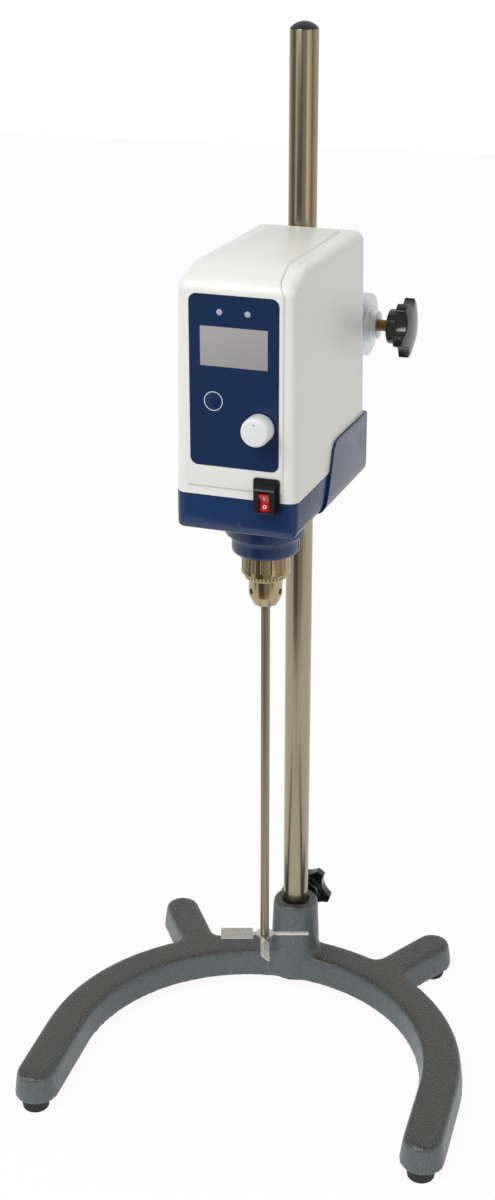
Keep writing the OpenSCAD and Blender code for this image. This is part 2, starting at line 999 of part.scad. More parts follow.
// Side view of the cover's wings.
module wing_side() {
    polygon([
        [-wing_y - 13, 0],
        [-case_back + 9, 0],
        [-case_back + 9, wing_z],
        [-wing_y + 20, wing_z],
        [-wing_y + 13, wing_z - 1.5],
        [-wing_y + 8, wing_z - 6],
        [-wing_y, part_z]
    ]);
}

module switch_cut() {
    translate([switch_x, 0, switch_z])
        front_plate(case_front - 12, case_front + 9)
            square([switch_w + 0.2, switch_h + 0.2], center = true);
}

module housing_shell() {
    color("#e9e6dd")
        at_case()
            difference() {
                union() {
                    intersection() {
                        difference() {
                            union() {
                                case_form(0, strip_proud);
                                intersection() {
                                    case_form(0, 0);
                                    strip_region();
                                }
                            }
                            case_form(case_wall, case_wall);
                        }
                        side_solid(case_half_foot + 6)
                            upper_side();
                    }
                    for (x = [-1, 1])
                        for (z = [board_low + 6, board_high - 6])
                            translate([x * (board_half - 4), 0, z])
                                front_bar(board_post_r, board_y, front_in + 1);
                }
                front_plate(pocket_y, case_front + 1)
                    translate([0, (overlay_low + overlay_high) / 2])
                        round_rect(2 * overlay_half + 0.2, overlay_high - overlay_low + 0.2, overlay_r);
                translate([0, 0, display_z])
                    front_plate(front_in - 1, case_front + 1)
                        square([display_w - 3, display_h - 3], center = true);
                for (x = [-lamp_x, lamp_x])
                    translate([x, 0, lamp_z])
                        front_bar(lamp_r + 0.1, front_in - 1, case_front + 1);
                translate([mode_x, 0, mode_z])
                    front_bar(mode_r + body_gap, front_in - 1, case_front + 1);
                translate([knob_x, 0, knob_z])
                    front_bar(encoder_r + 1.6, front_in - 1, case_front + 1);
                switch_cut();
                translate([-clamp_flange_half - 0.1, -case_back - case_wall - 1, clamp_z - clamp_flange_h - 0.1])
                    cube([2 * clamp_flange_half + 0.2, case_wall + 2, 2 * clamp_flange_h + 0.2]);
            }
}

screw_places = [[-32, -178], [32, -178], [-32, -54], [32, -54]];

module bottom_cover() {
    color("#1d3a78")
        at_case()
            difference() {
                union() {
                    difference() {
                        case_form(0, strip_proud);
                        side_solid(case_half_foot + 6)
                            upper_side();
                    }
                    intersection() {
                        case_form(-wing_proud, 0);
                        side_solid(case_half_foot + 6)
                            wing_side();
                    }
                }
                case_form(case_wall, case_wall);
                translate([0, -shaft_reach, -1])
                    cylinder(r = neck_hole_r, h = case_wall + 2);
                switch_cut();
                translate([notch_x, -case_front, -1])
                    cylinder(r1 = notch_r, r2 = 0.5, h = notch_h + 1);
                translate([-inlet_w / 2 + 9.5, -case_back - case_wall - 2, inlet_z - inlet_h / 2 + 1])
                    cube([inlet_w - 19, case_wall + 8, inlet_h - 2]);
                for (p = screw_places)
                    translate([p.x, p.y, -1])
                        cylinder(r = 2 + seat_gap, h = case_wall + 2);
                for (x = [-20, 20])
                    translate([x, -case_back - case_wall - 1, inlet_z])
                        rotate([-90, 0, 0])
                            cylinder(r = 1.5 + seat_gap, h = case_wall + 6);
            }
}

module cover_screws() {
    color("silver")
        at_case()
            for (p = screw_places)
                translate([p.x, p.y, 0])
                    union() {
                        cylinder(r = 2, h = case_wall + 6);
                        translate([0, 0, -2.2])
                            cylinder(r = 3.6, h = 2.2);
                    }
}

module neck_collar() {
    color("#1d3a78")
        at_case()
            translate([0, -shaft_reach, 0])
                difference() {
                    rotate_extrude()
                        polygon([
                            [0, 0],
                            [collar_r, 0],
                            for (k = [0 : 5])
                                [
                                    collar_r - (collar_r - collar_bowl_r) * sin(k * 18),
                                    -collar_flange - collar_flare * (1 - cos(k * 18))
                                ],
                            for (k = [0 : 4])
                                [
                                    collar_low_r + (collar_bowl_r - collar_low_r) * cos(k * 22.5),
                                    -collar_h + collar_round * (1 - sin(k * 22.5))
                                ],
                            [0, -collar_h]
                        ]);
                    translate([0, 0, -collar_h - 1])
                        cylinder(r = collar_low_r - collar_wall, h = collar_h + 2);
                    translate([0, 0, -collar_flange])
                        cylinder(r = collar_bowl_r - collar_wall - 1.5, h = collar_flange + 1);
                    rotate([0, 0, 2])
                        translate([collar_low_r - collar_wall - 1, -vent_w / 2, -collar_h + collar_round + 0.7])
                            cube([12, vent_w, vent_h]);
                }
}

// ---------- drive ----------

module chassis() {
    color("#9a9da0")
        at_case()
            difference() {
                union() {
                    translate([-deck_half, -deck_front, floor_z])
                        cube([2 * deck_half, deck_front - mast_y, plate_t]);
                    translate([-mast_half, -mast_y - plate_t, floor_z])
                        cube([2 * mast_half, plate_t, clamp_z + clamp_flange_h - floor_z]);
                    translate([0, -shaft_reach, -tube_drop])
                        cylinder(r = tube_r, h = tube_drop + motor_seat);
                    translate([0, -shaft_reach, motor_seat - 6])
                        cylinder(r = motor_r, h = 6);
                }
                translate([0, -shaft_reach, lower_bearing_z])
                    cylinder(r = tube_inner, h = bearing_w);
                translate([0, -shaft_reach, lower_bearing_z + bearing_w - 1])
                    cylinder(r = bearing_r - 3, h = upper_bearing_z - lower_bearing_z);
                translate([0, -shaft_reach, upper_bearing_z])
                    cylinder(r = tube_inner, h = bearing_w);
                translate([0, -shaft_reach, -tube_drop - 1])
                    cylinder(r = spindle_r + 4, h = 200);
                for (a = [45 : 90 : 315])
                    translate([motor_bolt_r * cos(a), -shaft_reach + motor_bolt_r * sin(a), floor_z + plate_t + 1])
                        cylinder(r = 2 + seat_gap, h = 100);
                translate([-27, -mast_y - plate_t - 1, deck_z])
                    cube([54, plate_t + 2, 36]);
                for (x = [-bolt_x, bolt_x])
                    for (z = [-bolt_z, bolt_z])
                        translate([x, -mast_y - plate_t - 1, clamp_z + z])
                            rotate([-90, 0, 0])
                                cylinder(r = bolt_r + seat_gap, h = plate_t + 2);
                for (p = screw_places)
                    translate([p.x, p.y, floor_z - 1])
                        cylinder(r = 2 + seat_gap, h = 8);
            }
}

module motor_can() {
    color("#3a3d40")
        at_case()
            translate([0, -shaft_reach, motor_seat])
                difference() {
                    cylinder(r = motor_r, h = motor_len);
                    translate([0, 0, 6])
                        cylinder(r = rotor_r + 1, h = motor_len - 12);
                    translate([0, 0, -1])
                        cylinder(r = spindle_r + 1, h = 10);
                    for (a = [45 : 90 : 315])
                        translate([motor_bolt_r * cos(a), motor_bolt_r * sin(a), -1])
                            cylinder(r = 2 + seat_gap, h = 9);
                }
}

module motor_screws() {
    color("silver")
        at_case()
            translate([0, -shaft_reach, motor_seat - 6])
                for (a = [45 : 90 : 315])
                    translate([motor_bolt_r * cos(a), motor_bolt_r * sin(a), 0])
                        union() {
                            cylinder(r = 2, h = 13);
                            translate([0, 0, -4])
                                cylinder(r = 3.4, h = 4);
                        }
}

module bearings() {
    color("#c8c8c8")
        at_case()
            translate([0, -shaft_reach, 0])
                for (z = [lower_bearing_z, upper_bearing_z])
                    translate([0, 0, z])
                        difference() {
                            cylinder(r = bearing_r, h = bearing_w);
                            translate([0, 0, -1])
                                cylinder(r = spindle_r + run_fit, h = bearing_w + 2);
                            for (e = [-1, bearing_w - 1])
                                translate([0, 0, e])
                                    difference() {
                                        cylinder(r = bearing_r - 3, h = 2);
                                        translate([0, 0, -1])
                                            cylinder(r = spindle_r + 3, h = 4);
                                    }
                        }
}

module drive_board() {
    color("darkgreen")
        at_case()
            union() {
                translate([-drive_w / 2, -drive_y, deck_z])
                    cube([drive_w, board_t, drive_h]);
                translate([8 - drive_w / 2, -drive_y + board_t - eps, choke_z])
                    cube([choke_w, choke_d, 36]);
                for (k = [0, 1])
                    translate([12 + 13 * k, -drive_y + board_t - eps, choke_z + 10])
                        rotate([-90, 0, 0])
                            cylinder(r = 6, h = choke_d - 2);
            }
}

module power_inlet() {
    depth = mouth_depth + 5;
    back = -case_back + wing_proud;
    color("#1a1a1a")
        at_case()
            translate([0, back, inlet_z])
                difference() {
                    union() {
                        rotate([-90, 0, 0])
                            linear_extrude(2.5)
                                round_rect(inlet_w, inlet_h, 4);
                        translate([-inlet_w / 2 + 9.7, -depth, -inlet_h / 2 + 1.2])
                            cube([inlet_w - 19.4, depth + 1, inlet_h - 2.4]);
                    }
                    translate([0, -mouth_depth, 0])
                        rotate([-90, 0, 0])
                            linear_extrude(mouth_depth + 4)
                                round_rect(mouth_w, mouth_h, 2);
                    for (x = [-20, 20])
                        translate([x, -1, 0])
                            rotate([-90, 0, 0])
                                cylinder(r = 1.5 + seat_gap, h = 5);
                    for (p = [[-7, -0.5], [7, -0.5], [0, 3.5]])
                        translate([p.x - 1 - seat_gap, -depth - 1, p.y - 2 - seat_gap])
                            cube([2 + 2 * seat_gap, depth, 4 + 2 * seat_gap]);
                }
}

module inlet_pins() {
    depth = mouth_depth + 5;
    color("silver")
        at_case()
            translate([0, -case_back + wing_proud, inlet_z])
                for (p = [[-7, -0.5], [7, -0.5], [0, 3.5]])
                    translate([p.x - 1, -depth - 6, p.y - 2])
                        cube([2, depth + 3, 4]);
}

module inlet_screws() {
    color("silver")
        at_case()
            translate([0, -case_back + wing_proud, inlet_z])
                for (x = [-20, 20])
                    translate([x, 0, 0])
                        rotate([90, 0, 0])
                            union() {
                                translate([0, 0, -2.5])
                                    cylinder(r = 1.5, h = case_wall + 3);
                                translate([0, 0, -4])
                                    cylinder(r = 2.8, h = 1.5);
                            }
}

// ---------- control panel ----------

module control_overlay() {
    color("#17305f")
        at_case()
            difference() {
                front_plate(pocket_y, pocket_y + overlay_t)
                    translate([0, (overlay_low + overlay_high) / 2])
                        round_rect(2 * overlay_half, overlay_high - overlay_low, overlay_r);
                translate([0, 0, display_z])
                    front_plate(pocket_y - 1, case_front + 2)
                        square([display_w + 0.1, display_h + 0.1], center = true);
                for (x = [-lamp_x, lamp_x])
                    translate([x, 0, lamp_z])
                        front_bar(lamp_r + 0.1, pocket_y - 1, case_front + 2);
                translate([mode_x, 0, mode_z])
                    front_bar(mode_r + body_gap, pocket_y - 1, case_front + 2);
                translate([knob_x, 0, knob_z])
                    front_bar(encoder_r + 1.6, pocket_y - 1, case_front + 2);
            }
}

module display_window() {
    color("#9b999a")
        at_case()
            translate([0, 0, display_z])
                front_plate(pocket_y, pocket_y + overlay_t - 0.1)
                    square([display_w, display_h], center = true);
}

module display_module() {
    color("#707478")
        at_case()
            translate([0, 0, display_z])
                front_plate(board_y, front_in - 0.2)
                    square([display_w + 2, display_h + 4], center = true);
}

module indicator_lamps() {
    color("#b0b4b8")
        at_case()
            for (x = [-lamp_x, lamp_x])
                translate([x, 0, lamp_z])
                    front_bar(lamp_r, board_y, case_front + overlay_proud + 0.3);
}

module control_board() {
    color("darkgreen")
        at_case()
            union() {
                front_plate(board_y - board_t, board_y)
                    translate([0, (board_low + board_high) / 2])
                        square([2 * board_half, board_high - board_low], center = true);
                translate([mode_x, 0, mode_z])
                    front_plate(board_y - eps, board_y + 2.4)
                        square([6.2, 6.2], center = true);
            }
}

module mode_button() {
    color("#17305f")
        at_case()
            translate([mode_x, 0, mode_z])
                union() {
                    front_bar(mode_r, front_in - 1.4, case_front + overlay_proud + 0.2);
                    front_bar(mode_r + 1.4, front_in - 1.4, front_in - body_gap);
                    front_bar(2, board_y + 2.4 + mode_travel + body_gap, front_in);
                }
}

module encoder_body() {
    color("#5a5e62")
        at_case()
            translate([knob_x, 0, knob_z])
                difference() {
                    union() {
                        front_plate(board_y, front_in - 0.2)
                            square([12, 12], center = true);
                        front_bar(encoder_r + 1.4, board_y, case_front);
                    }
                    front_bar(encoder_r + run_fit, board_y - 1, case_front + 2);
                }
}

module encoder_plunger() {
    color("goldenrod")
        at_case()
            translate([knob_x, 0, knob_z])
                front_bar(encoder_r, board_y + knob_push + body_gap, board_y + knob_push + body_gap + 1.2);
}

module encoder_shaft() {
    start = board_y + knob_push + 2 * body_gap + 1.2;
    color("silver")
        at_case()
            translate([knob_x, 0, knob_z])
                front_bar(encoder_r, start, case_front + knob_len - 2);
}

module control_knob() {
    start = case_front + overlay_proud + knob_push + 0.4;
    color("#f2f2f0")
        at_case()
            translate([knob_x, -start, knob_z])
                rotate([90, 0, 0])
                    difference() {
                        union() {
                            cylinder(r = knob_r, h = knob_len - 3);
                            translate([0, 0, knob_len - 3])
                                cylinder(r1 = knob_r, r2 = knob_r - 0.6, h = 2);
                            translate([0, 0, knob_len - 1])
                                cylinder(r1 = knob_r - 0.6, r2 = knob_r - 1.6, h = 1);
                        }
                        translate([0, 0, -1])
                            cylinder(r = encoder_r + seat_gap, h = case_front + knob_len - 2 - start + 1.1);
                    }
}

// ---------- power switch ----------

rocker_axis = case_front + 1.5;
hood_drop = (switch_h - hood_h) / 2;

module switch_bezel() {
    inner = case_front - 10;
    color("#141414")
        at_case()
            translate([switch_x, 0, switch_z])
                difference() {
                    union() {
                        front_plate(inner, case_front + 1)
                            round_rect(switch_w, switch_h, 2);
                        front_plate(case_front, case_front + 2)
                            round_rect(switch_w + 1.5, switch_h + 1.5, 2.5);
                        side_solid(hood_w / 2)
                            rounded(
                                [
                                    [-case_front - 1, -hood_drop - hood_h / 2],
                                    [-case_front - 1, -hood_drop + hood_h / 2 + 2.4],
                                    [-case_front - switch_proud, -hood_drop + hood_h / 2],
                                    [-case_front - switch_proud, -hood_drop - hood_h / 2]
                                ],
                                [0.4, 0.4, 3, 1.6]
                            );
                    }
                    translate([0, 0, -hood_drop])
                        front_plate(case_front - 6, case_front + switch_proud + 1)
                            square([rocker_w + 2 * body_gap, rocker_h + 2.4], center = true);
                    translate([-rocker_w / 2 - 2, -rocker_axis, -hood_drop])
                        rotate([0, 90, 0])
                            cylinder(r = 1.4 + run_fit, h = rocker_w + 4);
                }
}

// Rocker with two faces that meet in a valley, tilted to its off side.
module switch_rocker() {
    lift = case_front + switch_proud - rocker_axis - 0.6;
    color("#c8202a")
        at_case()
            translate([switch_x, -rocker_axis, switch_z - hood_drop])
                rotate([rocker_tilt / 2, 0, 0])
                    union() {
                        side_solid(rocker_w / 2)
                            polygon([
                                [-lift, rocker_h / 2],
                                [-lift + 2.2, 0],
                                [-lift, -rocker_h / 2],
                                [-lift + 2.6, -rocker_h / 2],
                                [3.6, -3],
                                [3.6, 3],
                                [-lift + 2.6, rocker_h / 2]
                            ]);
                        translate([-rocker_w / 2 - 1.6, 0, 0])
                            rotate([0, 90, 0])
                                cylinder(r = 1.4, h = rocker_w + 3.2);
                    }
}

// ---------- spindle and chuck ----------

module spindle() {
    color("silver")
        at_spindle()
            union() {
                translate([0, 0, -chuck_drop - 14])
                    cylinder(r = 6.2, h = 14 + 1);
                translate([0, 0, -chuck_drop])
                    cylinder(r = spindle_r + 2, h = chuck_drop + lower_bearing_z - body_gap);
                translate([0, 0, -chuck_drop])
                    cylinder(r = spindle_r, h = motor_seat + chuck_drop + 2);
                translate([0, 0, motor_seat])
                    cylinder(r = rotor_shaft_r, h = motor_len - 10);
            }
}

module motor_rotor() {
    color("#6a5040")
        at_spindle()
            translate([0, 0, motor_seat + 10])
                difference() {
                    cylinder(r = rotor_r, h = motor_len - 22);
                    translate([0, 0, -1])
                        cylinder(r = rotor_shaft_r + seat_gap, h = motor_len);
                }
}

// Bar along one jaw's tilted axis, between two depths below the chuck's top face.
module jaw_bar(r, low, high) {
    translate([jaw_nose, 0, -chuck_len])
        rotate([0, jaw_tilt, 0])
            translate([0, 0, (chuck_len - low) / cos(jaw_tilt)])
                cylinder(r = r, h = (low - high) / cos(jaw_tilt));
}

module chuck_body() {
    color("#b9b4a8")
        at_chuck()
            difference() {
                rotate_extrude()
                    polygon([
                        [0, 0],
                        [sleeve_cavity - run_fit, 0],
                        [sleeve_cavity - run_fit, -chuck_flange],
                        [16, -chuck_flange],
                        [16, -nut_top],
                        [groove_r, -nut_top],
                        [groove_r, -nut_low],
                        [chuck_r, -nut_low],
                        [chuck_r, -chuck_len + nose_h],
                        [chuck_r - 0.8, -chuck_len + nose_h - 2.5],
                        [nose_r + 1, -chuck_len + 2],
                        [nose_r, -chuck_len],
                        [0, -chuck_len]
                    ]);
                translate([0, 0, -14.5])
                    cylinder(r = 6.2 + seat_gap, h = 20);
                translate([0, 0, -chuck_len - 1])
                    cylinder(r = shaft_r + 1, h = shaft_grip + 2);
                for (a = [30, 150, 270])
                    rotate([0, 0, a])
                        jaw_bar(jaw_r + run_fit, chuck_len + 3, chuck_flange + 2);
                for (a = [90, 210, 330])
                    rotate([0, 0, a])
                        translate([shaft_r + 3, 0, -chuck_len + nose_h + 4.2])
                            rotate([0, 90, 0])
                                cylinder(r = pilot_r, h = chuck_r);
            }
}

module chuck_sleeve() {
    bead = 1.2;
    color("#c3beb2")
        at_chuck()
            difference() {
                rotate_extrude()
                    polygon([
                        [chuck_r + run_fit, -nut_low],
                        [sleeve_cavity, -nut_low],
                        [sleeve_cavity, -1],
                        [sleeve_r - 0.8, -1],
                        [sleeve_r - 0.4, -1.5],
                        [sleeve_r - 0.4, -sleeve_len + 3.4],
                        [sleeve_r, -sleeve_len + 2.6],
                        [sleeve_r, -sleeve_len + 0.8],
                        [sleeve_r - bead, -sleeve_len],
                        [bevel_r + 1.4, -sleeve_len - 0.6],
                        [bevel_r, -sleeve_len - bevel_h],
                        [chuck_r + run_fit, -sleeve_len - bevel_h]
                    ]);
                for (i = [0 : flutes - 1])
                    rotate([0, 0, i * 360 / flutes])
                        translate([sleeve_r + 1.1, 0, -sleeve_len + 4.5])
                            cylinder(r = 2.1, h = sleeve_len);
                for (i = [0 : teeth - 1])
                    rotate([0, 0, i * 360 / teeth])
                        translate([bevel_r + 1.9, 0, -sleeve_len - bevel_h - 1])
                            rotate([0, -14, 0])
                                cylinder(r = 0.95, h = bevel_h + 0.6);
            }
}

module chuck_nut() {
    mid = (nut_top + nut_low) / 2;
    axis_mid = jaw_nose + (chuck_len - mid) * jaw_slope;
    cone_mid = axis_mid + jaw_r / cos(jaw_tilt) + nut_clear;
    half = (nut_low - nut_top) / 2 - 0.1;
    color("#8d8d88")
        at_chuck()
            rotate_extrude()
                polygon([
                    [cone_mid - half * jaw_slope, -mid - half],
                    [sleeve_cavity - seat_gap, -mid - half],
                    [sleeve_cavity - seat_gap, -mid + half],
                    [cone_mid + half * jaw_slope, -mid + half]
                ]);
}

module jaw(a) {
    color("#9c9c98")
        at_chuck()
            rotate([0, 0, a])
                intersection() {
                    jaw_bar(jaw_r, jaw_end + 2, jaw_top);
                    translate([shaft_r + run_fit, -10, -jaw_end])
                        cube([30, 20, jaw_end]);
                }
}

module jaw_1() {
    jaw(30);
}

module jaw_2() {
    jaw(150);
}

module jaw_3() {
    jaw(270);
}

module stirring_shaft() {
    top = -chuck_drop - chuck_len + shaft_grip;
    low = -impeller_drop + blade_t / 2;
    color("#a39a8c")
        at_spindle()
            difference() {
                translate([0, 0, low])
                    cylinder(r = shaft_r, h = top - low);
                translate([0, 0, low - 1])
                    cylinder(r = 2 + seat_gap, h = 11);
            }
}

module impeller() {
    root = hub_corner - 1;
    color("#b5b2aa")
        at_spindle()
            translate([0, 0, -impeller_drop])
                difference() {
                    union() {
                        for (i = [0 : blades - 1])
                            rotate([0, 0, i * 360 / blades]) {
                                translate([root / 2, 0, 0])
                                    rotate([0, 0, 45])
                                        cube([root / sqrt(2), root / sqrt(2), blade_t], center = true);
                                translate([(root + 1) / 2, 0, 0])
                                    cube([root + 1, 3.2, blade_t], center = true);
                                translate([(root + impeller_r) / 2, 0, 0])
                                    rotate([-blade_pitch, 0, 0])
                                        cube([impeller_r - root, blade_w, blade_t], center = true);
                            }
                        cylinder(r = root * 0.72, h = blade_t, center = true);
                    }
                    cylinder(r = 2 + seat_gap, h = 20, center = true);
                }
}

module impeller_screw() {
    color("silver")
        at_spindle()
            translate([0, 0, -impeller_drop - blade_t / 2])
                union() {
                    cylinder(r = 2, h = 9);
                    translate([0, 0, -3])
                        cylinder(r = 3.6, h = 3);
                }
}

base_casting();
rubber_feet();
foot_screws();
lock_pad();
lock_stud();
lock_knob();
post_tube();
post_cap();
clamp_body();
clamp_bush();
clamp_bolts();
clamp_pad();
clamp_stud();
clamp_knob();
housing_shell();
bottom_cover();
cover_screws();
chassis();
motor_can();
motor_screws();
bearings();
drive_board();
power_inlet();
inlet_pins();
inlet_screws();
control_overlay();
display_window();
display_module();
indicator_lamps();
control_board();
mode_button();
encoder_body();
encoder_plunger();
encoder_shaft();
control_knob();
switch_bezel();
switch_rocker();
neck_collar();
spindle();
motor_rotor();
chuck_body();
chuck_sleeve();
chuck_nut();
jaw_1();
jaw_2();
jaw_3();
stirring_shaft();
impeller();
impeller_screw();
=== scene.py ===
"""Overhead laboratory stirrer: its finishes, its detailed pieces, the studio and the camera."""

import json
import logging
import math
from dataclasses import dataclass, field
from enum import Enum

import bmesh
import bpy
from mathutils import Matrix, Vector


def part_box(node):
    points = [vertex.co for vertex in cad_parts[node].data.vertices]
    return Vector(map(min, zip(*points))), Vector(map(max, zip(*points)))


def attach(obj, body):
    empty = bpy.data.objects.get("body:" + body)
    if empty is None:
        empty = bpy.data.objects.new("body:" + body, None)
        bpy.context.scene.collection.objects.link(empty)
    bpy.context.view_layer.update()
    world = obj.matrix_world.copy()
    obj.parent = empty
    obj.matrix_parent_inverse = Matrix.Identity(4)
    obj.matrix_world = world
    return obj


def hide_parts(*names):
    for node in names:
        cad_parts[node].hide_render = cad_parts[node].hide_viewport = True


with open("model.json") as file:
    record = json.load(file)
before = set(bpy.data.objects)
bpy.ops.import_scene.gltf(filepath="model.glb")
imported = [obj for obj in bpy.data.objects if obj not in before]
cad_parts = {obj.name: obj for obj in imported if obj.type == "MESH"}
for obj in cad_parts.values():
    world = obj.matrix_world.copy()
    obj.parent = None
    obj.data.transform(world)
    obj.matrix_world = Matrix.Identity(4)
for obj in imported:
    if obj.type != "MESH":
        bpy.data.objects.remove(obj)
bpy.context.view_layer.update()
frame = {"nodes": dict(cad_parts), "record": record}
LOG = logging.getLogger("stirrer")
MM = 0.001


# ---------- nodes and colours ----------


def linear(hex_colour: str, alpha: float = 1.0) -> tuple[float, float, float, float]:
    """Turn an sRGB hex colour into linear light.

    Args:
        hex_colour: six hex digits with a leading #.
        alpha: the fourth value.

    Returns:
        Red, green, blue and alpha for a colour socket.
    """
    parts = [int(hex_colour[i : i + 2], 16) / 255 for i in (1, 3, 5)]
    red, green, blue = [p / 12.92 if p <= 0.04045 else ((p + 0.055) / 1.055) ** 2.4 for p in parts]
    return red, green, blue, alpha


def add_node(
    tree: bpy.types.NodeTree,
    kind: str,
    settings: dict[str | int, object] | None = None,
    links: dict[str | int, bpy.types.NodeSocket] | None = None,
) -> bpy.types.Node:
    """Add a node, set its properties or sockets, and link its inputs.

    Args:
        tree: the tree that gets the node.
        kind: the node's type name.
        settings: socket names, socket numbers or property names, with their values.
        links: socket names or numbers, with the outputs that feed them.

    Returns:
        The new node.
    """
    node = tree.nodes.new(kind)
    for name, value in (settings or {}).items():
        if isinstance(name, str) and hasattr(node, name):
            setattr(node, name, value)
    for name, value in (settings or {}).items():
        if isinstance(name, int) or not hasattr(node, name):
            node.inputs[name].default_value = value
    for name, source in (links or {}).items():
        tree.links.new(source, node.inputs[name])
    return node


class Bearing(Enum):
    """Direction that finishing marks run in; the value scales their noise along x, y and z."""

    UPRIGHT = (9.0, 9.0, 0.35)
    AROUND = (1.0, 1.0, 14.0)
    EVEN = (6.0, 6.0, 6.0)


@dataclass(frozen=True)
class Finish:
    """A finish shared by one or more pieces.

    Attributes:
        name: the material's name.
        colour: base colour as sRGB hex.
        roughness: mean roughness.
        metallic: 1 for bare metal, 0 otherwise.
        ior: refractive index of a non-metal.
        grain_mm: size of the surface's texture.
        relief: strength of that texture's bump.
        uneven: how far the roughness and the colour wander.
    """

    name: str
    colour: str
    roughness: float
    metallic: float = 0.0
    ior: float = 1.5
    grain_mm: float = 0.8
    relief: float = 0.05
    uneven: float = 0.04

    def material(self) -> bpy.types.Material:
        """Make this finish's material the first time it is asked for.

        Returns:
            The material.
        """
        found = bpy.data.materials.get(self.name)
        if found:
            return found
        made = bpy.data.materials.new(self.name)
        made.use_nodes = True
        tree = made.node_tree
        tree.nodes.clear()
        shader = add_node(
            tree,
            "ShaderNodeBsdfPrincipled",
            {"Metallic": self.metallic, **({} if self.metallic else {"IOR": self.ior})},
        )
        self.dress(tree, shader)
        add_node(tree, "ShaderNodeOutputMaterial", links={"Surface": shader.outputs["BSDF"]})
        return made

    def dress(self, tree: bpy.types.NodeTree, shader: bpy.types.Node) -> None:
        """Link colour, roughness and relief into the shader.

        Args:
            tree: the material's tree.
            shader: its Principled node.
        """
        place = add_node(tree, "ShaderNodeTexCoord").outputs["Object"]
        grain = add_node(
            tree, "ShaderNodeTexNoise", {"Scale": 1 / (self.grain_mm * MM), "Detail": 3.0}, {"Vector": place}
        )
        cloud = add_node(tree, "ShaderNodeTexNoise", {"Scale": 14.0, "Detail": 2.0}, {"Vector": place})
        self.tint(tree, shader, cloud.outputs["Fac"])
        rough = add_node(
            tree,
            "ShaderNodeMapRange",
            {"To Min": self.roughness - self.uneven, "To Max": self.roughness + self.uneven},
            {"Value": cloud.outputs["Fac"]},
        )
        tree.links.new(rough.outputs["Result"], shader.inputs["Roughness"])
        bump = add_node(
            tree,
            "ShaderNodeBump",
            {"Strength": self.relief, "Distance": self.grain_mm * MM * 0.3},
            {"Height": grain.outputs["Fac"]},
        )
        tree.links.new(bump.outputs["Normal"], shader.inputs["Normal"])

    def tint(self, tree: bpy.types.NodeTree, shader: bpy.types.Node, cloud: bpy.types.NodeSocket) -> None:
        """Let the colour wander slightly between two close shades.

        Args:
            tree: the material's tree.
            shader: its Principled node.
            cloud: a slow noise from 0 to 1.
        """
        base = linear(self.colour)
        dark = [c * (1 - self.uneven) for c in base[:3]] + [1.0]
        light = [min(c * (1 + self.uneven), 1.0) for c in base[:3]] + [1.0]
        mix = add_node(tree, "ShaderNodeMix", {"data_type": "RGBA", 6: dark, 7: light}, {0: cloud})
        tree.links.new(mix.outputs[2], shader.inputs["Base Color"])


@dataclass(frozen=True)
class Metal(Finish):
    """Bare metal with finishing marks along a direction.

    Attributes:
        metallic: 1, as for all bare metal.
        marks: the direction.
        mark_mm: width of a mark.
    """

    metallic: float = 1.0
    marks: Bearing = Bearing.EVEN
    mark_mm: float = 0.5

    def dress(self, tree: bpy.types.NodeTree, shader: bpy.types.Node) -> None:
        """Stretch a fine noise along the marks and use it for roughness and relief.

        Args:
            tree: the material's tree.
            shader: its Principled node.
        """
        place = add_node(tree, "ShaderNodeTexCoord").outputs["Object"]
        scale = [s / (self.mark_mm * MM * 9) for s in self.marks.value]
        stretched = add_node(tree, "ShaderNodeMapping", {"Scale": scale}, {"Vector": place})
        marks = add_node(
            tree, "ShaderNodeTexNoise", {"Scale": 1.0, "Detail": 2.0}, {"Vector": stretched.outputs["Vector"]}
        )
        cloud = add_node(tree, "ShaderNodeTexNoise", {"Scale": 30.0, "Detail": 2.0}, {"Vector": place})
        self.tint(tree, shader, cloud.outputs["Fac"])
        rough = add_node(
            tree,
            "ShaderNodeMapRange",
            {"To Min": self.roughness - self.uneven, "To Max": self.roughness + self.uneven},
            {"Value": marks.outputs["Fac"]},
        )
        tree.links.new(rough.outputs["Result"], shader.inputs["Roughness"])
        bump = add_node(
            tree,
            "ShaderNodeBump",
            {"Strength": self.relief, "Distance": 0.00005},
            {"Height": marks.outputs["Fac"]},
        )
        tree.links.new(bump.outputs["Normal"], shader.inputs["Normal"])


